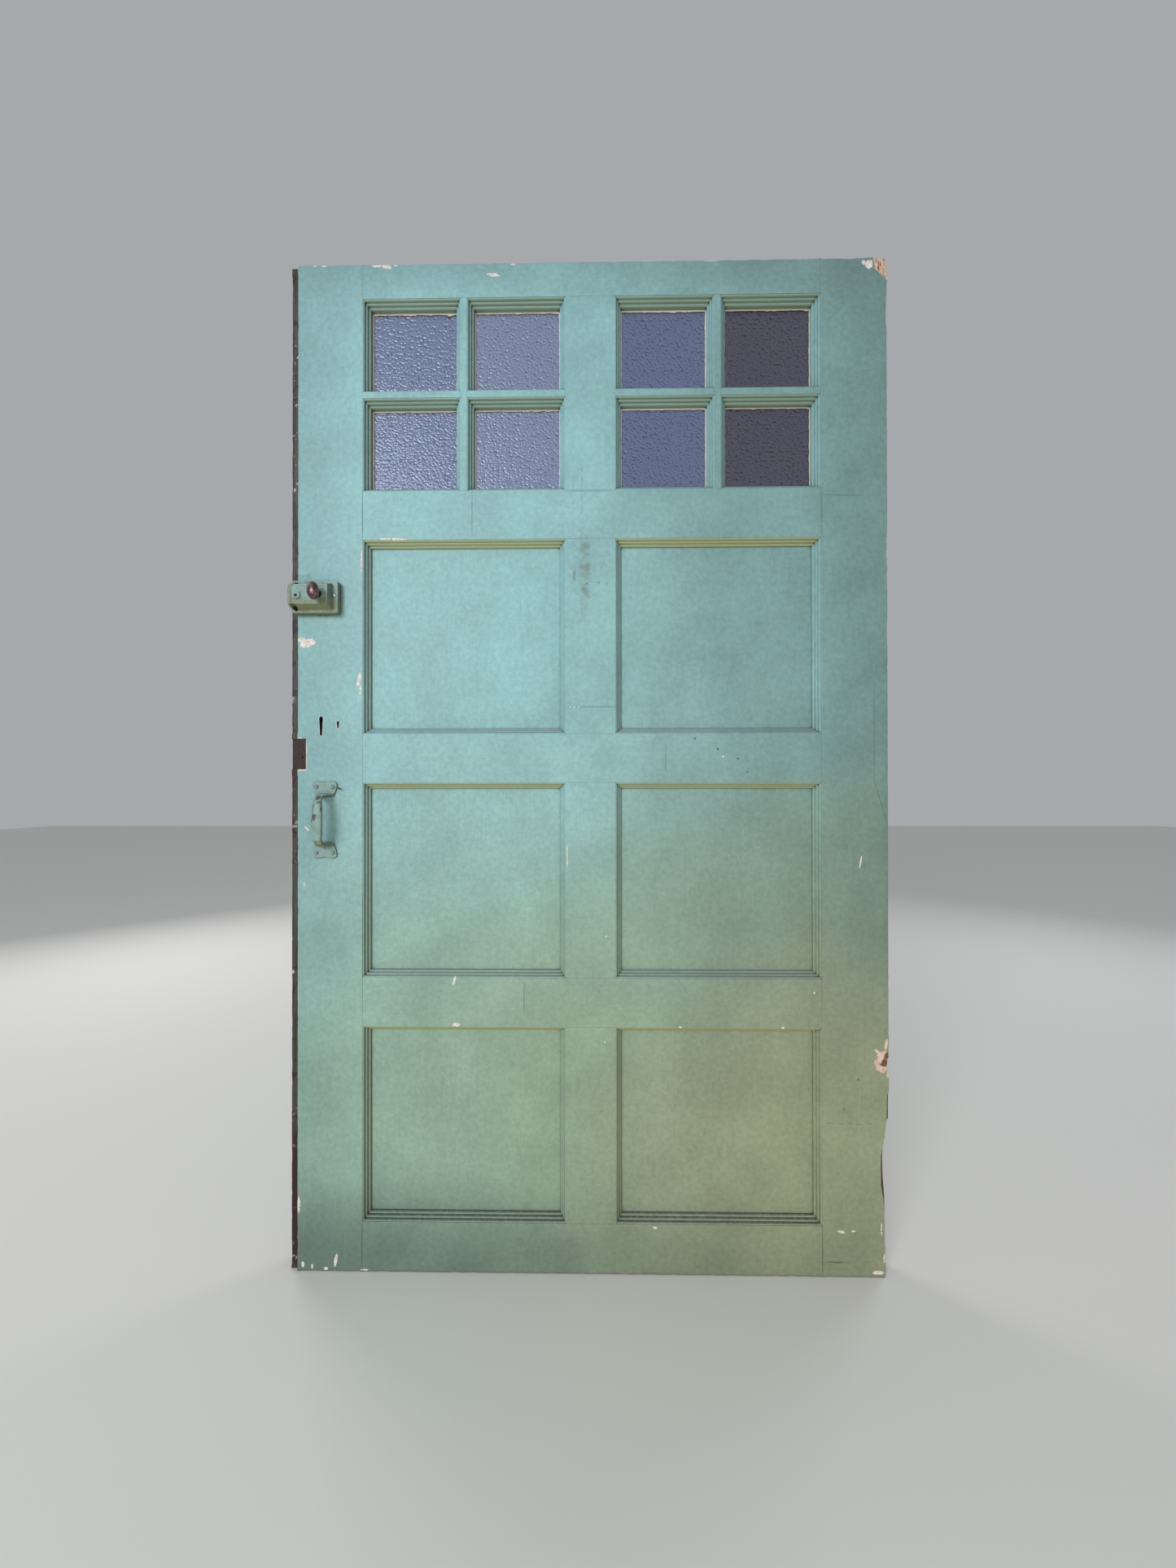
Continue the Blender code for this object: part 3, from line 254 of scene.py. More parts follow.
# Fine dark cracks and specks
DARK_MARKS = [
    (824.6, 987.9, 2.4, 2.2), (871.4, 1009.7, 2.2, 2.6), (913, 1029.8, 2.4, 2),
    (932.1, 1057.5, 1.8, 1.8), (602, 666.8, 1.2, 2), (627.2, 665.3, 1.2, 1.8), (644, 668, 1.2, 1.2),
    (1156.5, 1687.3, 1.8, 1.8), (1128.2, 1747.3, 1.8, 1.8), (135.2, 520, 0.5, 48),
    (1085.6, 527, 0.5, 48), (364.2, 521, 0.45, 47), (608, 475.6, 52, 0.5), (1127, 488.4, 41, 0.45, 1),
    (614, 922, 52, 0.5), (471.8, 1521, 0.6, 33), (764.4, 1030, 0.5, 29), (1098, 1775.6, 9, 0.3, 3),
    (1121, 1777.2, 7, 0.3, -4), (1141, 1776.4, 6, 0.3, 5), (1160, 1778.2, 8, 0.3, -3),
    (1182, 1777, 5, 0.3, 6), (1110, 2059, 28, 0.6), (1083.5, 2040, 0.5, 44), (135.3, 2034, 0.5, 48),
    (1190.8, 985, 0.4, 92), (1203.5, 1118, 0.4, 45, -17), (369.2, 804, 0.35, 166),
    (12, 650, 8, 0.25, -40), (1112, 2060.4, 14, 0.8, 3), (136, 1430, 0.35, 130),
    (46, 730.6, 5, 0.8, -3), (59, 730.9, 6, 0.7, 4),
]
# Brown stains that have run down the paint
STAIN_MARKS = [
    (598, 640, 11, 95), (576, 647.3, 4, 24), (573.6, 470, 1.4, 66), (592.1, 470, 1.4, 66),
    (14, 648, 13, 10),
]


def marks_on(node, marks):
    """The marks that touch a node's box."""
    low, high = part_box(node)
    chosen = []
    for mark in marks:
        spot = place(mark[0], mark[1])
        wide, tall = mark[2:4] if len(mark) < 5 or not mark[4] else (max(mark[2:4]),) * 2
        wide, tall = wide / 1000 + 0.001, tall / 1000 + 0.001
        if low.x - wide < spot.x < high.x + wide and low.z - tall < spot.z < high.z + tall:
            chosen.append(mark)
    return chosen


def timber_paint(node, stretch):
    """Old brushed paint on a member. Stretch squeezes the brush marks along the grain's axis."""
    net = Net(f"{node}_paint")
    across = net.remap(net.x, -LEAF_WIDTH, 0.0, smooth=False)
    down = net.remap(net.z, LEAF_TOP, -LEAF_TOP, smooth=False)
    # Painted warm light: the teal turns sea green and then olive towards the foot and the right-hand edge,
    # as if lit warm from below
    drift = net.noise(2.6, 2.0)
    drifted = net.math("ADD", down, net.math("MULTIPLY", net.math("SUBTRACT", drift, 0.5), 0.16))
    low = net.remap(drifted, 0.38, 0.86)
    lean = net.math("ADD", 0.34, net.math("MULTIPLY", across, 0.72))
    hue = net.math("MULTIPLY", low, lean, clamp=True)
    colour = net.mix(net.remap(hue, 0.0, 0.5), TEAL, SEA_GREEN)
    colour = net.mix(net.remap(hue, 0.42, 1.0), colour, OLIVE)
    facing = net.normal_axis(2)
    sideways = net.normal_axis(0)
    # Painted shade: darker towards the upper right, least on left-facing faces, as a lamp on the left would
    # leave them
    right = net.math("ADD", net.remap(across, 0.42, 0.80, 0.0, 0.45),
                     net.remap(across, 0.84, 0.97, 0.0, 0.20))
    upper_right_shade = net.math("MULTIPLY", right, net.remap(down, 0.90, 0.60, 0.10, 1.0))
    upper_right_shade = net.math("MULTIPLY", upper_right_shade, net.remap(sideways, -0.30, -0.80, 1.0, 0.15))
    colour = net.mix(upper_right_shade, colour, (0.120, 0.180, 0.155))
    foot = net.math("MULTIPLY", net.remap(down, 0.90, 0.985), net.remap(across, 0.1, 1.0, 0.62, 0.16))
    ends = net.math("ADD", foot, net.remap(down, 0.050, 0.0, 0.0, 0.26))
    colour = net.mix(ends, colour, (0.095, 0.125, 0.110))
    cloud = net.noise(7.0, 4.0, 0.6)
    colour = net.tint(colour, net.remap(cloud, 0.25, 0.75, 0.89, 1.10))
    colour = net.tint(colour, net.remap(net.noise(95.0, 3.0, 0.65), 0.25, 0.75, 0.90, 1.09))
    colour = net.tint(colour, net.remap(across, 0.13, 0.01, 1.0, 0.85))
    streaks = net.noise(1.0, 4.0, 0.6, net.scaled(net.object_place, stretch))
    colour = net.tint(colour, net.remap(streaks, 0.2, 0.8, 0.955, 1.045))
    # Painted warm light from below on down-facing faces; in the glazing it is darker and greener
    painted_underlight = net.mix(net.remap(down, 0.27, 0.23), UNDERLIGHT_OLIVE, (0.240, 0.315, 0.215))
    colour = net.mix(net.remap(facing, -0.18, -0.65, 0.0, 0.90), colour, painted_underlight)
    # Painted shade on right-facing faces in the left half of the leaf
    painted_side_shade = net.math("MULTIPLY", net.remap(sideways, 0.35, 0.85, 0.0, 0.78),
                          net.remap(across, 0.74, 0.46))
    colour = net.mix(painted_side_shade, colour, (0.140, 0.130, 0.062))
    # Painted shade: right-facing faces darker towards the right-hand edge
    colour = net.tint(colour, net.remap(net.math("MULTIPLY", sideways, across), 0.35, 0.60, 1.0, 0.80))
    # Dust and a painted cool sky light on up-facing ledges, darker towards the foot
    ledge = net.math("MULTIPLY", net.remap(facing, 0.35, 0.85),
                     net.remap(net.noise(160.0, 3.0), 0.3, 0.6, 0.55, 0.9))
    colour = net.mix(ledge, colour, net.mix(net.remap(down, 0.70, 0.93), DUST_AND_SKYLIGHT, (0.088, 0.102, 0.100)))
    # Painted shade in corners and cracks
    corner = net.crevice(0.009)
    colour = net.mix(net.remap(corner, 0.20, 0.72, 0.0, 0.86), colour, GRIME_AND_SHADE)
    speck = net.remap(net.noise(420.0, 2.0), 0.70, 0.76)
    colour = net.mix(net.math("MULTIPLY", speck, 0.30), colour, GRIME_AND_SHADE)
    stain = net.math("MULTIPLY", net.blots(marks_on(node, STAIN_MARKS), 0.9, 0.7, 260.0),
                     net.remap(net.noise(60.0, 4.0), 0.42, 0.66))
    colour = net.mix(net.math("MULTIPLY", stain, 0.45), colour, (0.150, 0.120, 0.075))
    dark = net.blots(marks_on(node, DARK_MARKS), 0.5, 0.6, 700.0)
    colour = net.mix(net.math("MULTIPLY", dark, 0.72), colour, (0.060, 0.060, 0.045))
    pale = net.blots(marks_on(node, PALE_MARKS), 0.22, 0.75, 800.0)
    chip = net.mix(net.remap(net.noise(150.0, 2.0), 0.40, 0.62), WHITE_CHIP, PRIMER)
    chip = net.mix(net.remap(net.noise(300.0, 3.0), 0.60, 0.70), chip, OLD_WOOD)
    colour = net.mix(pale, colour, chip)
    gouge = net.blots(marks_on(node, GOUGE_MARKS), 0.12, 0.34, 520.0)
    torn = net.mix(net.remap(net.noise(120.0, 3.0), 0.35, 0.70), (0.78, 0.62, 0.54), (0.62, 0.42, 0.33))
    colour = net.mix(gouge, colour, torn)
    core = net.blots(marks_on(node, WOOD_MARKS), 0.25, 0.5, 600.0)
    fibre = net.noise(1.0, 5.0, 0.7, net.scaled(net.object_place, (420.0, 420.0, 26.0)))
    heart = net.mix(net.remap(fibre, 0.35, 0.70), (0.110, 0.050, 0.032), (0.330, 0.160, 0.095))
    colour = net.mix(core, colour, heart)
    if node == "lock_stile":
        outer = net.remap(net.x, -LEAF_WIDTH - 0.0002, -LEAF_WIDTH - 0.0012)
        streak = net.noise(1.0, 4.0, 0.6, net.scaled(net.object_place, (260.0, 260.0, 9.0)))
        tired = net.mix(net.remap(streak, 0.36, 0.64), (0.072, 0.066, 0.054), (0.036, 0.028, 0.022))
        strip = net.math("ADD", net.remap(net.noise(38.0, 4.0), 0.56, 0.63),
                         net.math("MULTIPLY", net.remap(net.z, -0.70, -0.80),
                                  net.remap(net.z, -1.042, -1.030)))
        tired = net.mix(net.math("MINIMUM", strip, 1.0), tired, OLD_WOOD)
        patch = net.math("MULTIPLY", net.remap(net.noise(90.0, 3.0, 0.6), 0.60, 0.64),
                         net.remap(net.noise(11.0, 2.0), 0.50, 0.60))
        patch = net.math("MULTIPLY", patch, 0.55)
        tired = net.mix(patch, tired, chip)
        colour = net.mix(outer, colour, tired)
    bare = net.attribute("bare")
    raw = net.attribute("raw")
    split = net.math("ADD", fibre, net.swing(330.0, 0.5))
    fresh = net.mix(net.remap(split, 0.36, 0.54), (0.160, 0.078, 0.055), (0.800, 0.560, 0.410))
    old = net.mix(net.remap(fibre, 0.42, 0.74), OLD_WOOD, (0.060, 0.029, 0.025))
    ragged = net.math("ADD", bare, net.swing(500.0, 0.55))
    colour = net.mix(net.remap(ragged, 0.42, 0.50), colour, PRIMER)
    colour = net.mix(net.remap(ragged, 0.60, 0.68), colour, net.mix(raw, old, fresh))
    height = net.math("ADD", net.math("MULTIPLY", streaks, 0.5),
                      net.math("MULTIPLY", net.noise(240.0, 3.0), 0.4))
    if node == "hinge_stile":
        colour = net.mix(net.blots(SPLINTER_MARKS, 0.2, 0.1), colour, RECESS_BLACK)
    height = net.math("SUBTRACT", height, net.math("MULTIPLY", net.math("MAXIMUM", pale, gouge), 1.6))
    height = net.math("SUBTRACT", height, net.math("MULTIPLY", dark, 1.4))
    height = net.math("ADD", height, net.math("MULTIPLY", net.math("MULTIPLY", fibre, bare), 3.0))
    normal = net.bump(height, 0.00030, 0.75)
    roughness = net.remap(cloud, 0.3, 0.7, 0.44, 0.58)
    dull = net.math("MULTIPLY", net.math("ADD", ledge, pale), 0.25)
    roughness = net.math("ADD", roughness, dull, clamp=True)
    return net.finish(colour, roughness, normal, Specular_IOR_Level=0.35)


def casting_paint(name, wear_and_shade_marks, hole_marks=()):
    """The same paint brushed over castings and worn to the metal in places, with dirty blotches, and
    painted shade in the corners and on down-facing and right-facing faces.
    """
    net = Net(name)
    colour = net.mix(net.noise(30.0, 3.0), (0.232, 0.372, 0.366), (0.278, 0.430, 0.400))
    olive = net.remap(net.noise(52.0, 5.0, 0.65), 0.46, 0.66, 0.0, 0.50)
    colour = net.mix(olive, colour, (0.205, 0.250, 0.140))
    # Painted shade on down-facing faces, warmed to olive as if lit from below
    facing = net.normal_axis(2)
    colour = net.mix(net.remap(facing, -0.12, -0.70, 0.0, 0.92), colour, (0.215, 0.222, 0.082))
    # Painted shade on right-facing faces
    side = net.normal_axis(0)
    colour = net.mix(net.remap(side, 0.35, 0.90, 0.0, 0.78), colour, (0.105, 0.125, 0.078))
    if hole_marks:
        lip = net.math("MAXIMUM", net.remap(net.z, LOCK_FOOT + 0.0085, LOCK_FOOT),
                       net.remap(net.x, -LEAF_WIDTH + 0.006, -LEAF_WIDTH - 0.001))
        lip = net.math("MULTIPLY", lip, net.remap(net.noise(120.0, 4.0, 0.6), 0.30, 0.65, 0.25, 0.85))
        colour = net.mix(lip, colour, (0.205, 0.215, 0.105))
    # Painted shade in corners, made uneven by a noise
    corner = net.math("ADD", net.crevice(0.009),
                      net.remap(net.noise(160.0, 4.0, 0.6), 0.3, 0.7, -0.12, 0.16))
    colour = net.mix(net.remap(corner, 0.18, 0.62, 0.0, 0.88), colour, (0.056, 0.052, 0.028))
    blotch = net.remap(net.noise(210.0, 4.0, 0.6), 0.58, 0.70)
    colour = net.mix(net.math("MULTIPLY", blotch, 0.50), colour, (0.115, 0.118, 0.066))
    # Metal where a mark is worn through; where a mark stands for shade, this is painted shade
    worn = net.blots(wear_and_shade_marks, 0.25, 0.8, 620.0)
    wider = [(*mark[:2], mark[2] + 0.5, mark[3] + 0.5, *mark[4:]) for mark in wear_and_shade_marks]
    rim = net.blots(wider, 0.25, 0.8, 620.0)
    colour = net.mix(rim, colour, (0.280, 0.215, 0.160))
    rubbed = net.remap(net.noise(260.0, 3.0), 0.40, 0.60)
    metal = net.mix(rubbed, (0.062, 0.058, 0.072), (0.120, 0.125, 0.150))
    colour = net.mix(worn, colour, metal)
    # Painted shade inside the lock's holes
    if hole_marks:
        colour = net.mix(net.blots(hole_marks, 0.3, 0.5, 500.0), colour, (0.030, 0.016, 0.014))
    height = net.math("SUBTRACT", net.noise(300.0, 3.0), net.math("MULTIPLY", worn, 0.9))
    normal = net.bump(height, 0.00022, 0.7)
    roughness = net.math("ADD", 0.40, net.math("MULTIPLY", net.noise(90.0, 2.0), 0.18))
    return net.finish(colour, roughness, normal, Specular_IOR_Level=0.4)


def glass_material(name, tint, shade, roughness):
    """Tinted glass, lighter and darker over its relief: a painted highlight and painted shade that stand in
    for refracted light.
    """
    net = Net(name)
    tone = net.attribute("painted_refraction")
    # Painted highlight on some slopes of the relief and painted shade on others
    light = tuple(min(1.0, part * 1.6) for part in tint)
    colour = net.mix(net.remap(tone, 0.50, 0.08), tint, light)
    colour = net.mix(net.remap(tone, 0.50, 0.92), colour, shade)
    return net.finish(colour, roughness, Transmission_Weight=1.0, IOR=1.50, Specular_IOR_Level=0.20)


def residue_material(name, pale, brown):
    """Paint, putty and dirt that have crept onto the glass."""
    net = Net(name)
    share = net.math("ADD", net.attribute("crept"),
                     net.remap(net.noise(75.0, 4.0, 0.6), 0.2, 0.8, -0.30, 0.30))
    colour = net.mix(net.remap(share, 0.42, 0.56), pale, brown)
    normal = net.bump(net.noise(700.0, 3.0), 0.0004, 0.8)
    return net.finish(colour, 0.8, normal)


def putty_material():
    net = Net("old_putty")
    cloud = net.remap(net.noise(90.0, 4.0), 0.35, 0.65)
    colour = net.mix(cloud, (0.600, 0.560, 0.440), (0.330, 0.320, 0.240))
    colour = net.mix(net.remap(net.noise(600.0, 2.0), 0.62, 0.70), colour, (0.130, 0.110, 0.080))
    normal = net.bump(net.noise(500.0, 4.0), 0.0004, 0.8)
    return net.finish(colour, 0.85, normal)


def bronze_material():
    net = Net("brown_bronze")
    rubbed = net.remap(net.noise(120.0, 4.0), 0.40, 0.66)
    colour = net.mix(rubbed, (0.085, 0.040, 0.042), (0.200, 0.125, 0.130))
    corner = net.crevice(0.004)
    colour = net.mix(net.remap(corner, 0.25, 0.75), colour, (0.035, 0.016, 0.014))
    # Painted shade: darker towards the knob's neck, next to the lock
    colour = net.mix(net.remap(net.y, -0.0735, -0.0690), colour, (0.040, 0.024, 0.018))
    normal = net.bump(net.noise(420.0, 4.0), 0.00025, 0.8)
    return net.finish(colour, net.remap(net.noise(200.0, 3.0), 0.3, 0.7, 0.24, 0.42), normal, 0.55)


def steel_material():
    net = Net("dull_steel")
    colour = net.mix(net.noise(240.0, 4.0), (0.300, 0.280, 0.240), (0.560, 0.560, 0.540))
    colour = net.mix(net.remap(net.crevice(0.002), 0.3, 0.8), colour, (0.040, 0.030, 0.022))
    normal = net.bump(net.noise(900.0, 3.0), 0.0001, 0.6)
    return net.finish(colour, 0.38, normal, 0.85)


def rust_material():
    net = Net("rusty_nail")
    colour = net.mix(net.noise(700.0, 4.0), (0.020, 0.010, 0.008), (0.100, 0.038, 0.020))
    normal = net.bump(net.noise(1200.0, 4.0), 0.0003, 0.9)
    return net.finish(colour, 0.85, normal, 0.2)


GRAIN_UP = (900.0, 900.0, 16.0)
GRAIN_ALONG = (16.0, 900.0, 900.0)
# Where the handle's paint is worn to the metal; the marks at 68 across down the grip's right side are
# painted shade, and those at 85 across on the plates' right sides are painted shade with dirt
HANDLE_WEAR_AND_SHADE = [
    (54.6, 1147.8, 4.6, 7.6, 12, 39, 9), (48.8, 1154.9, 2.6, 4.5, 20, 36, 9),
    (59.5, 1108, 4.6, 5, 30, 36, 8), (61.7, 1118.2, 4.6, 2.6, -20, 34, 8),
    (50.3, 1112.1, 1.6, 3.6, 0, 34, 9), (50, 1124.4, 1.8, 5, 10, 36, 9), (68, 1130, 3, 24, 0, 31, 9.5),
    (68, 1168, 2.8, 14, 0, 31, 9.5), (51.6, 1135, 0.9, 14, 4, 37, 8),
    (50.4, 1196.2, 1.3, 4, -25, 34, 9), (53.5, 1199.5, 1.4, 3.4, -25, 34, 9),
    (58.9, 1204.8, 3.6, 1.5, 20, 30, 9), (69.7, 1106.5, 9, 1.3, -6, 20, 16),
    (72, 1202.4, 8, 1.2, 8, 18, 16), (85, 1080, 1.2, 8, -20, 3.5, 4), (85.6, 1219, 1.2, 8, 15, 3.5, 4),
]
LOCK_WEAR = [
    (60, 681.5, 14, 0.5, 0, 17, 4), (4, 705, 0.5, 18, 0, 36, 4), (22, 726, 9, 0.9, 4, 17, 6),
]
# Painted shade inside the lock's holes
LOCK_HOLES = [
    (5.4, 720.6, 6, 6, 0, 14, 4.5), (4.2, 672.4, 6, 6, 0, 14, 4.5), (13.2, 699.6, 2.6, 3.2, 0, 37.5, 3),
]
HANDLE_PAINT = casting_paint("paint_on_handle", HANDLE_WEAR_AND_SHADE)
LOCK_PAINT = casting_paint("paint_on_lock", LOCK_WEAR, LOCK_HOLES)
SCREW_PAINT = casting_paint("paint_on_screws", [])
PUTTY = putty_material()
BRONZE = bronze_material()
STEEL = steel_material()
RUST = rust_material()
GLASS = [
    glass_material("glass_lilac", (0.390, 0.470, 0.770), (0.120, 0.150, 0.290), 0.24),
    glass_material("glass_pale", (0.480, 0.560, 0.860), (0.140, 0.170, 0.310), 0.24),
    glass_material("glass_grey", (0.290, 0.350, 0.570), (0.070, 0.082, 0.155), 0.24),
    glass_material("glass_smoked", (0.170, 0.165, 0.235), (0.030, 0.024, 0.032), 0.26),
]
RESIDUE = [
    residue_material("residue_pale", (0.720, 0.690, 0.600), (0.090, 0.052, 0.058)),
    residue_material("residue_brown", (0.560, 0.520, 0.450), (0.060, 0.030, 0.030)),
]


def welded_copy(node):
    """A bmesh of a node, its vertices joined and its flat faces whole."""
    form = bmesh.new()
    form.from_mesh(NODES[node].data)
    bmesh.ops.remove_doubles(form, verts=form.verts[:], dist=2e-6)
    flat = math.radians(0.4)
    bmesh.ops.dissolve_limit(form, angle_limit=flat, verts=form.verts[:], edges=form.edges[:])
    return form


def worked_copy(node):
    """A bmesh of a node in triangles, with layers that say where its wood is bare and fresh."""
    form = welded_copy(node)
    bmesh.ops.triangulate(form, faces=form.faces[:])
    form.verts.layers.float.new("bare")
    form.verts.layers.float.new("raw")
    return form


def add_piece(name, form, material, body, nodes=(), sharp=38.0):
    """Ends a bmesh as a piece that rides on a body and stands for the nodes given."""
    mesh = bpy.data.meshes.new(name)
    form.to_mesh(mesh)
    form.free()
    if "custom_normal" in mesh.attributes:
        mesh.attributes.remove(mesh.attributes["custom_normal"])
    for face in mesh.polygons:
        face.use_smooth = face.area < 2e-4 or max(abs(part) for part in face.normal) < 0.999
    mesh.set_sharp_from_angle(angle=math.radians(sharp))
    mesh.materials.append(material)
    obj = bpy.data.objects.new(name, mesh)
    bpy.context.scene.collection.objects.link(obj)
    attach(obj, body)
    if nodes:
        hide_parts(*nodes)
    return obj


def cut(form, axis, level, faces):
    """Cuts the faces across an axis at a level, and returns what they have become."""
    geometry = set(faces)
    for face in faces:
        geometry.update(face.edges)
        geometry.update(face.verts)
    point, normal = Vector(), Vector()
    point[axis], normal[axis] = level, 1.0
    made = bmesh.ops.bisect_plane(form, geom=list(geometry), plane_co=point, plane_no=normal, dist=1e-6)
    return [item for item in made["geom"] if isinstance(item, bmesh.types.BMFace)]


def crosses(face, low, high):
    """Whether a face's own box meets a box."""
    for axis in range(3):
        values = [vert.co[axis] for vert in face.verts]
        if max(values) < low[axis] or min(values) > high[axis]:
            return False
    return True


def within(point, low, high):
    return all(low[axis] <= point[axis] <= high[axis] for axis in range(3))


def cut_grid(form, low, high, steps):
    """Cuts the surface that lies in a box into cells of about the steps' sizes."""
    for axis in range(3):
        for level in (low[axis], high[axis]):
            cut(form, axis, level, [f for f in form.faces if crosses(f, low, high)])
    faces = [f for f in form.faces if within(f.calc_center_median(), low, high)]
    for axis in range(3):
        count = max(1, round((high[axis] - low[axis]) / steps[axis]))
        for number in range(1, count):
            faces = cut(form, axis, low[axis] + (high[axis] - low[axis]) * number / count, faces)


def roughen(form, low, high, depth, scale, stretch=(1.0, 1.0, 1.0), chosen=None):
    """Sinks the surface in a box by a noise, less towards the box's sides."""
    form.normal_update()
    for vert in form.verts:
        if not within(vert.co, low, high):
            continue
        share = 1.0
        for axis in (0, 2):
            gap = min(vert.co[axis] - low[axis], high[axis] - vert.co[axis])
            share *= smoothstep(0.0, 0.006, gap)
        if chosen is not None:
            share *= chosen(vert.co)
        if share <= 0.0:
            continue
        spot = Vector([vert.co[axis] * scale * stretch[axis] for axis in range(3)])
        sink = 0.5 + 0.5 * noise.fractal(spot, 0.8, 2.2, 4)
        vert.co -= vert.normal * depth * max(0.0, sink) * share


def wear_arris(form, along, corner, inward, span, radius=0.0011, nick=0.0016, pitch=0.007):
    """Rounds and nicks an arris that runs along an axis. Inward points from it into the timber."""
    sides = [axis for axis in range(3) if axis != along]
    reach = 0.0030
    low, high = Vector(), Vector()
    for axis in sides:
        low[axis], high[axis] = corner[axis] - reach - 1e-5, corner[axis] + reach + 1e-5
    low[along], high[along] = span
    for axis in sides:
        for offset in (reach, reach * 0.4):
            level = corner[axis] + inward[axis] * offset
            cut(form, axis, level, [f for f in form.faces if crosses(f, low, high)])
    for level in span:
        cut(form, along, level, [f for f in form.faces if crosses(f, low, high)])
    faces = [f for f in form.faces if within(f.calc_center_median(), low, high)]
    count = round((span[1] - span[0]) / pitch)
    for number in range(1, count):
        faces = cut(form, along, span[0] + (span[1] - span[0]) * number / count, faces)
    for vert in form.verts:
        if not within(vert.co, low, high):
            continue
        gap = max(abs(vert.co[axis] - corner[axis]) for axis in sides)
        near = max(0.0, 1 - gap / reach)
        ends = smoothstep(0.0, 0.004, min(vert.co[along] - span[0], span[1] - vert.co[along]))
        wave = noise.fractal(vert.co * 42.0, 0.9, 2.1, 4)
        pull = radius * 0.45 + nick * max(0.0, wave - 0.05)
        for axis in sides:
            vert.co[axis] += inward[axis] * pull * near * near * ends


def mark_bare(form, low, high, rule):
    """Sets how bare and how fresh the wood is in a box, from a rule that gives both at a place."""
    bare = form.verts.layers.float["bare"]
    raw = form.verts.layers.float["raw"]
    for vert in form.verts:
        if within(vert.co, low, high):
            share, fresh = rule(vert.co)
            if share > vert[bare]:
                vert[bare] = share
                vert[raw] = fresh


def smoothstep(low, high, value):
    """Nought below low, one above high, and a soft step between."""
    share = min(1.0, max(0.0, (value - low) / (high - low)))
    return share * share * (3 - 2 * share)


# Timber, copied from the solids and worn
TIMBER_UP = ["mullion_1", "mullion_2", "mullion_3", "mullion_4", "glazing_bar_left_upright",
             "glazing_bar_right_upright"]
TIMBER_ALONG = ["frieze_rail", "middle_rail", "lower_rail", "glazing_bar_left_cross_1",
                "glazing_bar_left_cross_2", "glazing_bar_right_cross_1", "glazing_bar_right_cross_2"]
SLITS = [(49.0, 940.5, 980.5, 3.75, 2.05), (84.3, 950.5, 965.0, 2.25, 1.25)]


def broken_corner(point):
    """How bare and fresh the wood is where the top right corner has split away."""
    drop = LEAF_TOP - point.z
    edge = -0.0268 + 0.0032 * drop / 0.0225
    if drop > 0.0225:
        edge = -0.0236 + 0.0177 * (drop - 0.0225) / 0.0175
    inside = point.x - edge
    if point.y > FRONT + 0.0085:
        return 0.0, 0.0
    wobble = 0.0012 * noise.noise(point * 320.0)
    return smoothstep(-0.0012, 0.0004, inside + wobble), 1.0


def rotted_edge(point):
    """The rotted foot of the right-hand edge: wood on what has broken, paint on the face beside it."""
    drop = LEAF_TOP - point.z
    drop += 0.022 * noise.noise(Vector((point.x * 60, point.y * 70, point.z * 25)))
    share = smoothstep(1.694, 1.708, drop) * smoothstep(2.010, 1.975, drop)
    if point.y < FRONT + 0.0004:
        return 0.0, 0.0
    grain = 0.5 + 0.5 * noise.noise(Vector((point.x * 200, point.y * 200, point.z * 30)))
    return share * (0.78 + 0.22 * grain), 0.06


def cut_pocket(point):
    """The pocket of the old lock keep: dark wood on its floor, primer on its broken rim."""
    across, down = (point.x + LEAF_WIDTH) * 1000, (LEAF_TOP - point.z) * 1000
    depth = (point.y - FRONT) * 1000
    floor = 2.2 if across > 0.05 else 10.2
    if 986.6 < down < 1050.6 and across < 17.6 and depth > floor:
        return 1.0, 0.0
    if 986.6 < down < 1050.6 and across < 17.6 and depth > 0.3 and across > 0.05:
        return 0.52, 0.0
    rim = 1.0 + 1.2 * noise.noise(point * 400.0)
    beside = -1.0 < across < 17.4 + rim and 986.8 - rim * 0.4 < down < 1050.3 + 1.5 * rim
    return (0.50 if beside and depth < 0.1 else 0.0), 0.0


def cut_slit(point):
    """The slits: dark inside, with primer showing round them."""
    across, down = (point.x + LEAF_WIDTH) * 1000, (LEAF_TOP - point.z) * 1000
    best = 0.0
    for middle, top, foot, upper, lower in SLITS:
        share = min(1.0, max(0.0, (down - top) / (foot - top)))
        radius = upper + (lower - upper) * share
        over = max(top + upper - down, down - foot + lower, 0.0)
        gap = math.hypot(across - middle, over) - radius
        if gap > 2.2:
            continue
        if point.y > FRONT + 0.0006:
            return 0.95, 0.05
        side = 1.0 if across < middle or down > top + (foot - top) * 0.75 else 0.22
        best = max(best, 0.56 * smoothstep(1.9, 1.2, gap / side + 0.7 * noise.noise(point * 500.0)))
    return best, 0.0


def round_corner(form, centre_x, side, radius):
    """Rounds a top corner of the face, seen from the front."""
    for vert in form.verts:
        if vert.co.y > FRONT + 0.0075 or vert.co.z < LEAF_TOP - radius or vert.co.x < -LEAF_WIDTH - 1e-5:
            continue
        middle = Vector((centre_x, LEAF_TOP - radius))
        off = Vector((vert.co.x, vert.co.z)) - middle
        if off.x * side > 0 and off.length > radius:
            off *= radius / off.length
            vert.co.x, vert.co.z = middle.x + off.x, middle.y + off.y


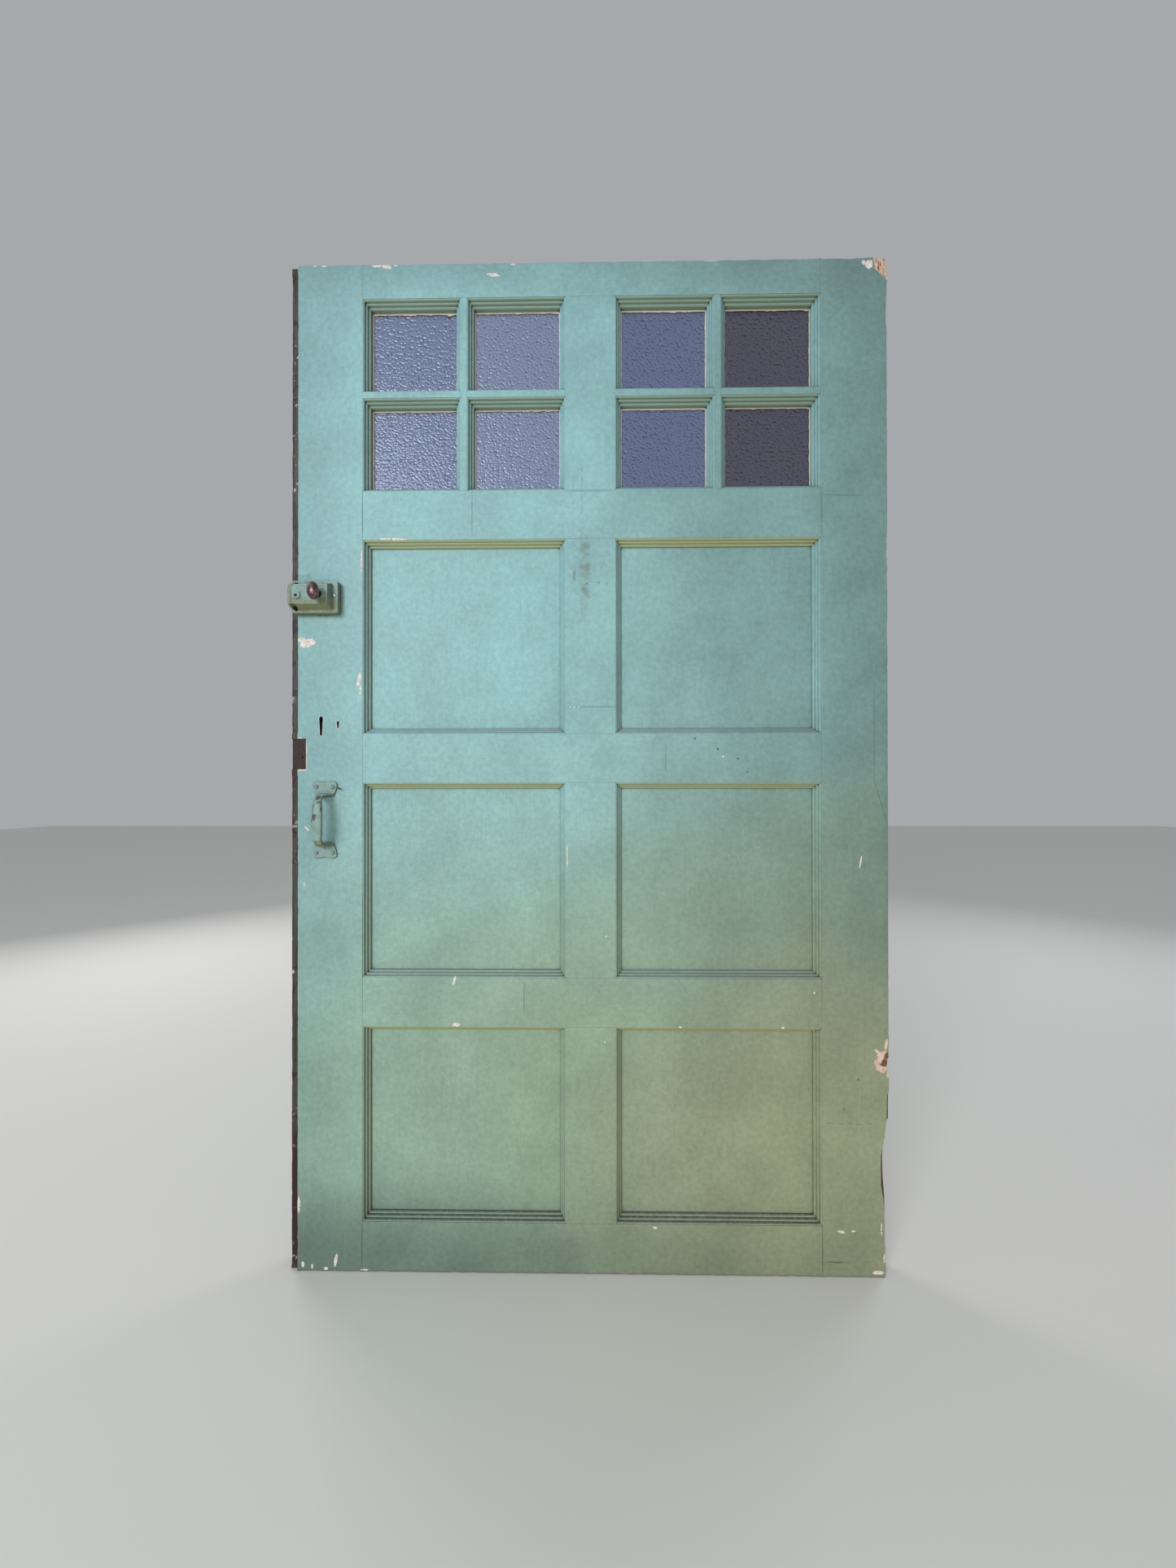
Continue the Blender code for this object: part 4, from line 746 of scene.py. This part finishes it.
def work_hinge_stile():
    """The hinge stile: its split corner, gouge, rotted foot and worn arrises."""
    form = worked_copy("hinge_stile")
    corner = ((-0.036, FRONT - 0.01, LEAF_TOP - 0.052), (0.01, FRONT + 0.012, LEAF_TOP + 0.01))
    foot = ((-0.026, FRONT - 0.01, LEAF_TOP - 2.030), (0.01, BACK + 0.001, LEAF_TOP - 1.690))
    gouge = ((-0.034, FRONT - 0.01, LEAF_TOP - 1.685), (0.01, FRONT + 0.022, LEAF_TOP - 1.600))
    cut_grid(form, *corner, (0.0013, 0.0016, 0.0014))
    cut_grid(form, *foot, (0.0020, 0.0060, 0.0035))
    cut_grid(form, *gouge, (0.0018, 0.0022, 0.0022))
    wear_arris(form, 2, Vector((0.0, FRONT, 0.0)), Vector((-1, 1, 0)),
               (LEAF_TOP - 1.600, LEAF_TOP - 0.053), 0.0012, 0.0030)
    wear_arris(form, 2, Vector((0.0, BACK, 0.0)), Vector((-1, -1, 0)), (LEAF_TOP - 1.690, LEAF_TOP - 0.004))
    wear_arris(form, 0, Vector((0.0, FRONT, LEAF_TOP)), Vector((0, 1, -1)),
               (-STILE_WIDTH + 0.001, -0.037), 0.0014, 0.0030)
    wear_arris(form, 0, Vector((0.0, FRONT, -LEAF_TOP)), Vector((0, 1, 1)),
               (-STILE_WIDTH + 0.001, -0.016), 0.0014, 0.0030)
    mark_bare(form, *corner, broken_corner)
    mark_bare(form, *foot, rotted_edge)
    for vert in form.verts:
        depth = vert.co.y - FRONT
        if within(vert.co, *corner) and 0.0015 < depth < 0.0075 and broken_corner(vert.co)[0] > 0.9:
            fibre = noise.fractal(Vector((vert.co.x * 330, 0.0, vert.co.z * 45)), 0.8, 2.1, 4)
            slope = smoothstep(-0.030, 0.004, vert.co.x)
            vert.co.y = FRONT + 0.0012 + 0.0016 * slope + 0.0026 * max(0.0, 0.5 + fibre)
    roughen(form, *foot, 0.0014, 90.0, (1.0, 1.0, 0.22), lambda co: smoothstep(0.0, 0.0015, co.y - FRONT))
    roughen(form, *gouge, 0.0022, 210.0, (1.0, 1.0, 0.7), lambda co: smoothstep(0.026, 0.010, math.hypot(
        co.x, (co.z - LEAF_TOP + 1.650) * 0.6)))
    return form


def work_lock_stile():
    """The lock stile: its slits, keep's pocket and worn arrises."""
    form = worked_copy("lock_stile")
    slits = ((-LEAF_WIDTH + 0.040, FRONT - 0.01, LEAF_TOP - 0.986),
             (-LEAF_WIDTH + 0.092, FRONT + 0.028, LEAF_TOP - 0.935))
    pocket = ((-LEAF_WIDTH - 0.020, FRONT - 0.01, LEAF_TOP - 1.058),
              (-LEAF_WIDTH + 0.027, FRONT + 0.013, LEAF_TOP - 0.979))
    top = ((-LEAF_WIDTH - 0.020, FRONT - 0.01, LEAF_TOP - 0.012),
           (-LEAF_WIDTH + 0.012, BACK + 0.001, LEAF_TOP + 0.01))
    cut_grid(form, *slits, (0.0013, 0.0060, 0.0015))
    cut_grid(form, *pocket, (0.0014, 0.0018, 0.0018))
    cut_grid(form, *top, (0.0016, 0.0060, 0.0016))
    face_edge = Vector((-LEAF_WIDTH, FRONT, 0.0))
    tongue_edge = Vector((-LEAF_WIDTH - 0.016, FRONT + 0.008, 0.0))
    for span in ((-LEAF_TOP + 0.001, LEAF_TOP - 1.060), (LEAF_TOP - 0.978, LEAF_TOP - 0.013)):
        wear_arris(form, 2, face_edge, Vector((1, 1, 0)), span, 0.0012, 0.0020)
        wear_arris(form, 2, tongue_edge, Vector((1, 1, 0)), span, 0.0014, 0.0036)
    wear_arris(form, 0, Vector((0.0, FRONT, LEAF_TOP)), Vector((0, 1, -1)),
               (-LEAF_WIDTH + 0.013, -LEAF_WIDTH + STILE_WIDTH - 0.001), 0.0014, 0.0030)
    wear_arris(form, 0, Vector((0.0, FRONT, -LEAF_TOP)), Vector((0, 1, 1)),
               (-LEAF_WIDTH + 0.004, -LEAF_WIDTH + STILE_WIDTH - 0.001), 0.0014, 0.0030)
    mark_bare(form, *slits, cut_slit)
    mark_bare(form, *pocket, cut_pocket)
    roughen(form, *pocket, 0.0009, 260.0, (1.0, 1.0, 0.5), lambda co: cut_pocket(co)[0])
    roughen(form, *slits, 0.0007, 420.0, (1.0, 1.0, 0.6), lambda co: cut_slit(co)[0])
    round_corner(form, -LEAF_WIDTH + 0.0045, -1, 0.0045)
    return form


def work_rail(node, level, inward):
    """A top or bottom rail, worn along its outer arris."""
    form = worked_copy(node)
    span = (-LEAF_WIDTH + STILE_WIDTH + 0.001, -STILE_WIDTH - 0.001)
    wear_arris(form, 0, Vector((0.0, FRONT, level)), Vector((0, 1, inward)), span, 0.0014, 0.0030)
    wear_arris(form, 0, Vector((0.0, BACK, level)), Vector((0, -1, inward)), span)
    return form


def dress_members():
    """The timber: the worn outer members, then the rest, each in its own paint."""
    forms = {
        "lock_stile": work_lock_stile(),
        "hinge_stile": work_hinge_stile(),
        "top_rail": work_rail("top_rail", LEAF_TOP, -1),
        "bottom_rail": work_rail("bottom_rail", -LEAF_TOP, 1),
    }
    for node in TIMBER_UP + TIMBER_ALONG:
        forms[node] = welded_copy(node)
    for node, form in forms.items():
        stretch = GRAIN_UP if node in TIMBER_UP or node.endswith("stile") else GRAIN_ALONG
        paint = timber_paint(node, stretch)
        add_piece(f"{node}_painted", form, paint, "door", [node], 50.0)
    for side in ("left", "right"):
        for row in (1, 2, 3):
            node = f"panel_{side}_{row}"
            NODES[node].data.materials.clear()
            NODES[node].data.materials.append(timber_paint(node, GRAIN_UP))


# Hammered glass
CELL = 0.0048
GLASS_STEP = 0.00125
RELIEF = 0.00100
SIGHT_INSET = 0.0077
RESIDUE_WIDEST = (0.0110, 0.0060, 0.0070, 0.0110)


def hammered_heights(xs, zs, seed):
    """How sunk each point of a grid is: round bosses on jittered centres, meeting in creases."""
    random = np.random.default_rng(seed)
    low_x, low_z = xs.min() - 2 * CELL, zs.min() - 2 * CELL
    count_x = int((xs.max() - low_x) / CELL) + 4
    count_z = int((zs.max() - low_z) / CELL) + 4
    shift = random.uniform(0.08, 0.92, (count_x, count_z, 2))
    size = random.uniform(0.75, 1.25, (count_x, count_z))
    lean = math.radians(28)
    grid_x, grid_z = np.meshgrid(xs, zs, indexing="ij")
    cell_x = ((grid_x - low_x) / CELL).astype(int)
    cell_z = ((grid_z - low_z) / CELL).astype(int)
    nearest = np.full(grid_x.shape, 9.0)
    for step_x in (-1, 0, 1):
        for step_z in (-1, 0, 1):
            i = np.clip(cell_x + step_x, 0, count_x - 1)
            k = np.clip(cell_z + step_z, 0, count_z - 1)
            centre_x = low_x + (i + shift[i, k, 0]) * CELL
            centre_z = low_z + (k + shift[i, k, 1]) * CELL
            along = (grid_x - centre_x) * math.cos(lean) - (grid_z - centre_z) * math.sin(lean)
            over = (grid_x - centre_x) * math.sin(lean) + (grid_z - centre_z) * math.cos(lean)
            gap = (along ** 2 * 0.72 + over ** 2 * 1.35) / CELL ** 2 * size[i, k]
            nearest = np.minimum(nearest, gap)
    return np.sin(np.minimum(nearest * 1.7, math.pi / 2))


def relief_pane(node, material, seed):
    """A pane whose inner face is hammered, on the node's own box."""
    low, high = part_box(node)
    count_x = int(round((high.x - low.x) / GLASS_STEP)) + 1
    count_z = int(round((high.z - low.z) / GLASS_STEP)) + 1
    xs = np.linspace(low.x, high.x, count_x)
    zs = np.linspace(low.z, high.z, count_z)
    heights = hammered_heights(xs, zs, seed)
    grid_x, grid_z = np.meshgrid(xs, zs, indexing="ij")
    depths = low.y + RELIEF * heights.ravel()
    verts = np.stack([grid_x.ravel(), depths, grid_z.ravel()], axis=1).tolist()
    index = np.arange(count_x * count_z).reshape(count_x, count_z)
    faces = np.stack([index[:-1, :-1], index[1:, :-1], index[1:, 1:], index[:-1, 1:]], axis=-1)
    faces = faces.reshape(-1, 4).tolist()
    base = len(verts)
    verts += [(low.x, high.y, low.z), (high.x, high.y, low.z),
              (high.x, high.y, high.z), (low.x, high.y, high.z)]
    faces.append([base + 3, base + 2, base + 1, base])
    faces.append([*index[::-1, 0].tolist(), base, base + 1])
    faces.append([*index[-1, ::-1].tolist(), base + 1, base + 2])
    faces.append([*index[:, -1].tolist(), base + 2, base + 3])
    faces.append([*index[0, :].tolist(), base + 3, base])
    mesh = bpy.data.meshes.new(f"{node}_hammered")
    mesh.from_pydata(verts, [], faces)
    painted_refraction = mesh.attributes.new("painted_refraction", "FLOAT", "POINT")
    # Painted refraction: each point lighter or darker by the slope of the relief and a little by its
    # height, as light bent by the hammered face would show
    slope = np.gradient(heights, axis=1) * 0.85 + np.gradient(heights, axis=0) * 0.5
    tone = 0.5 + 0.17 * slope / slope.std() + 0.12 * (heights - heights.mean()) / heights.std()
    tone = np.clip(tone, 0.0, 1.0)
    painted_refraction.data.foreach_set("value", np.concatenate([tone.ravel(), np.full(4, 0.5)]))
    form = bmesh.new()
    form.from_mesh(mesh)
    bpy.data.meshes.remove(mesh)
    bmesh.ops.recalc_face_normals(form, faces=form.faces[:])
    add_piece(f"{node}_hammered", form, material, "door", [node], 50.0)


def residue_ring(pane, material, widest, seed):
    """What has crept over the edge of a pane: a thin uneven fillet inside the sight line."""
    low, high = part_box(f"glass_{pane}")
    x0, x1, z0, z1 = low.x + SIGHT_INSET, high.x - SIGHT_INSET, low.z + SIGHT_INSET, high.z - SIGHT_INSET
    corners = [(x0, z0), (x1, z0), (x1, z1), (x0, z1)]
    form = bmesh.new()
    crept = form.verts.layers.float.new("crept")
    rows = []
    for (ax, az), (bx, bz) in zip(corners, corners[1:] + corners[:1]):
        count = round(math.hypot(bx - ax, bz - az) / 0.0028)
        for number in range(count):
            share = number / count
            x, z = ax + (bx - ax) * share, az + (bz - az) * share
            spot = Vector((x * 60.0, seed * 7.3, z * 60.0))
            swell = 0.5 + 0.5 * noise.fractal(spot, 0.7, 2.3, 4)
            fine = 0.5 + 0.5 * noise.noise(spot * 5.0)
            top = az == bz == z1
            reach = widest * (0.35 + 0.65 * ((x - x0) / (x1 - x0)) ** 2) if top else widest * 0.3
            width = 0.0016 + reach * max(0.0, swell) ** 2 + 0.0010 * fine
            inner_x, inner_z = min(max(x, x0 + width), x1 - width), min(max(z, z0 + width), z1 - width)
            height = 0.0010 + 0.0008 * fine
            band = 0.0012 + 0.0016 * (0.5 + 0.5 * noise.noise(spot * 2.0 + Vector((9.0, 3.0, 1.0))))
            band_x, band_z = min(max(x, x0 + band), x1 - band), min(max(z, z0 + band), z1 - band)
            width = max(width, band + (0.0030 if top else 0.0005))
            row = []
            for px, py, pz, share in (
                (x, low.y + 0.0008, z, 0.0),
                (x, low.y - height, z, 0.0),
                (band_x, low.y - 0.0006, band_z, 0.15),
                (inner_x, low.y - 0.0002, inner_z, 1.0),
                (inner_x, low.y + 0.0008, inner_z, 1.0),
            ):
                vert = form.verts.new((px, py, pz))
                vert[crept] = share
                row.append(vert)
            rows.append(row)
    for row, following in zip(rows, rows[1:] + rows[:1]):
        for k in range(5):
            form.faces.new((row[k], row[(k + 1) % 5], following[(k + 1) % 5], following[k]))
    bmesh.ops.recalc_face_normals(form, faces=form.faces[:])
    add_piece(f"residue_{pane}", form, material, "door")


def dress_glass():
    """The panes, and what lies round them."""
    for column, side in enumerate(("left", "right")):
        for level in (1, 2):
            for across in (1, 2):
                order = column * 2 + across - 1
                pane = f"{side}_{level}_{across}"
                relief_pane(f"glass_{pane}", GLASS[order], 10 * column + 3 * level + across)
                residue_ring(pane, RESIDUE[order == 3], RESIDUE_WIDEST[order], order * 2 + level)
                putty = NODES[f"putty_{pane}"]
                putty.data.materials.clear()
                putty.data.materials.append(PUTTY)


def bevelled(node, width, segments, angle=32.0):
    """A bmesh of a node with its sharp edges rounded."""
    form = welded_copy(node)
    edges = [e for e in form.edges if e.is_manifold and e.calc_face_angle(0.0) > math.radians(angle)]
    bmesh.ops.bevel(form, geom=edges, offset=width, segments=segments, profile=0.5, affect="EDGES",
                    clamp_overlap=True)
    return form


def remeshed(node, voxel, smoothing):
    """A bmesh of a node rebuilt as one soft casting."""
    form = welded_copy(node)
    mesh = bpy.data.meshes.new("casting")
    form.to_mesh(mesh)
    form.free()
    obj = bpy.data.objects.new("casting", mesh)
    bpy.context.scene.collection.objects.link(obj)
    remesh = obj.modifiers.new("remesh", "REMESH")
    remesh.mode = "VOXEL"
    remesh.voxel_size = voxel
    soften = obj.modifiers.new("soften", "SMOOTH")
    soften.factor = 0.5
    soften.iterations = smoothing
    graph = bpy.context.evaluated_depsgraph_get()
    form = bmesh.new()
    form.from_mesh(obj.evaluated_get(graph).to_mesh())
    bpy.data.objects.remove(obj, do_unlink=True)
    return form


KNOB_DEPTH = 0.0155
KNOB_HALF_WIDTH = 0.01225
KNOB_HALF_HEIGHT = 0.0185
KNOB_TILT = 9


def bordered_knob():
    """The knob with a groove round the edge of its front and a softly raised field inside."""
    form = remeshed("lock_knob", 0.0006, 4)
    low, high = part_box("lock_knob")
    centre = Vector(((low.x + high.x) / 2, low.y + KNOB_DEPTH / 2, (low.z + high.z) / 2))
    turn = math.radians(KNOB_TILT)
    for vert in form.verts:
        off = vert.co - centre
        if off.y > -0.0005:
            continue
        along = off.x * math.cos(turn) - off.z * math.sin(turn)
        up = off.x * math.sin(turn) + off.z * math.cos(turn)
        ring = math.hypot(along / KNOB_HALF_WIDTH, up / KNOB_HALF_HEIGHT)
        groove = math.exp(-((ring - 0.76) / 0.045) ** 2)
        relief = 0.35 * smoothstep(0.66, 0.5, ring) * (0.5 + 0.5 * noise.noise(vert.co * 520.0))
        vert.co.y += 0.00075 * groove + 0.0004 * relief
    return form


# What only has its edges rounded: node, finish, radius, segments, material, body and slot
ROUNDED = [
    ("lock_case", "painted", 0.0007, 3, LOCK_PAINT, "door", "casting_paint"),
    ("lock_cylinder", "painted", 0.0004, 2, LOCK_PAINT, "door", "casting_paint"),
    ("lock_bolt", "steel", 0.0005, 2, STEEL, "bolt", "bare_steel"),
    ("lock_screw", "steel", 0.0003, 2, STEEL, "door", "bare_steel"),
]
for number in (1, 2, 3, 4):
    ROUNDED.append((f"handle_screw_{number}", "painted", 0.0003, 2, SCREW_PAINT, "door", "casting_paint"))


def dress_ironmongery():
    """The lock, the handle, their screws and the nail."""
    for node, finish, width, segments, material, body, slot in ROUNDED:
        form = bevelled(node, width, segments)
        add_piece(f"{node}_{finish}", form, material, body, [node])
    add_piece("lock_knob_bronze", bordered_knob(), BRONZE, "knob", ["lock_knob"], 60.0)
    pull = remeshed("pull_handle", 0.0009, 5)
    add_piece("pull_handle_cast", pull, HANDLE_PAINT, "door", ["pull_handle"], 60.0)
    nail = NODES["bent_nail"]
    nail.data.materials.clear()
    nail.data.materials.append(RUST)


# The camera that fits the photograph: its place, turn in degrees, and lens
CAMERA_PLACE = (-0.5956, -1.2682, -0.0411)
CAMERA_TURN = (0.214, 0.053, 0.885)
SENSOR_WIDTH = 36.0
FOCAL_PIXELS = 742.0
FRAME_PIXELS = 1926.0
WORLD_STRENGTH = 0.41
# Each lamp: name, place, what it looks at, size, watts and colour
LAMPS = [
    ("key", (-3.1, -4.9, 1.9), (-0.70, 0.0, 0.0), (1.7, 1.7), 137.0, (0.93, 0.98, 1.0)),
    ("low_fill", (-0.2, -2.1, -0.66), (-0.6, 0.0, 0.0), (2.0, 0.6), 10.0, (1.0, 0.85, 0.64)),
    ("back_left", (-3.6, 2.6, 1.2), (-0.8, 0.0, 0.0), (1.6, 2.0), 40.0, (1.0, 0.98, 0.95)),
    ("back_right", (2.6, 2.6, 1.6), (-0.4, 0.0, 0.0), (1.6, 2.0), 26.0, (0.95, 0.98, 1.0)),
]


def light_area(name, location, target, size, energy, colour):
    """A soft lamp, which isn't seen through the panes."""
    data = bpy.data.lights.new(name, "AREA")
    data.shape = "RECTANGLE"
    data.size, data.size_y = size
    data.energy = energy
    data.color = colour
    obj = bpy.data.objects.new(name, data)
    bpy.context.scene.collection.objects.link(obj)
    obj.visible_transmission = False
    obj.location = location
    obj.rotation_mode = "QUATERNION"
    obj.rotation_quaternion = (Vector(target) - Vector(location)).to_track_quat("-Z", "Y")


def make_stage():
    """A pale floor, soft light, and the camera where the photograph was taken from."""
    form = bmesh.new()
    bmesh.ops.create_grid(form, x_segments=1, y_segments=1, size=14.0)
    mesh = bpy.data.meshes.new("floor")
    form.to_mesh(mesh)
    form.free()
    floor = bpy.data.objects.new("floor", mesh)
    floor.location = (-0.6, 0.0, -LEAF_TOP - 0.0005)
    bpy.context.scene.collection.objects.link(floor)
    net = Net("pale_floor")
    mesh.materials.append(net.finish((0.80, 0.79, 0.76), 0.9))
    world = bpy.data.worlds.new("studio")
    world.use_nodes = True
    back = world.node_tree.nodes["Background"]
    back.inputs["Color"].default_value = (0.93, 0.96, 1.0, 1.0)
    back.inputs["Strength"].default_value = WORLD_STRENGTH
    bpy.context.scene.world = world
    for lamp in LAMPS:
        light_area(*lamp)
    data = bpy.data.cameras.new("camera")
    camera = bpy.data.objects.new("camera", data)
    bpy.context.scene.collection.objects.link(camera)
    turn = Euler([math.radians(angle) for angle in CAMERA_TURN], "XYZ").to_matrix()
    right, forward, up = (turn.col[k] for k in range(3))
    aim = Matrix((right, up, -forward)).transposed().to_4x4()
    camera.matrix_world = Matrix.Translation(CAMERA_PLACE) @ aim
    data.sensor_width = SENSOR_WIDTH
    data.lens = FOCAL_PIXELS / FRAME_PIXELS * SENSOR_WIDTH
    data.clip_start = 0.02
    bpy.context.scene.camera = camera
    bpy.context.scene.view_settings.view_transform = "Standard"


dress_members()
dress_glass()
dress_ironmongery()
make_stage()
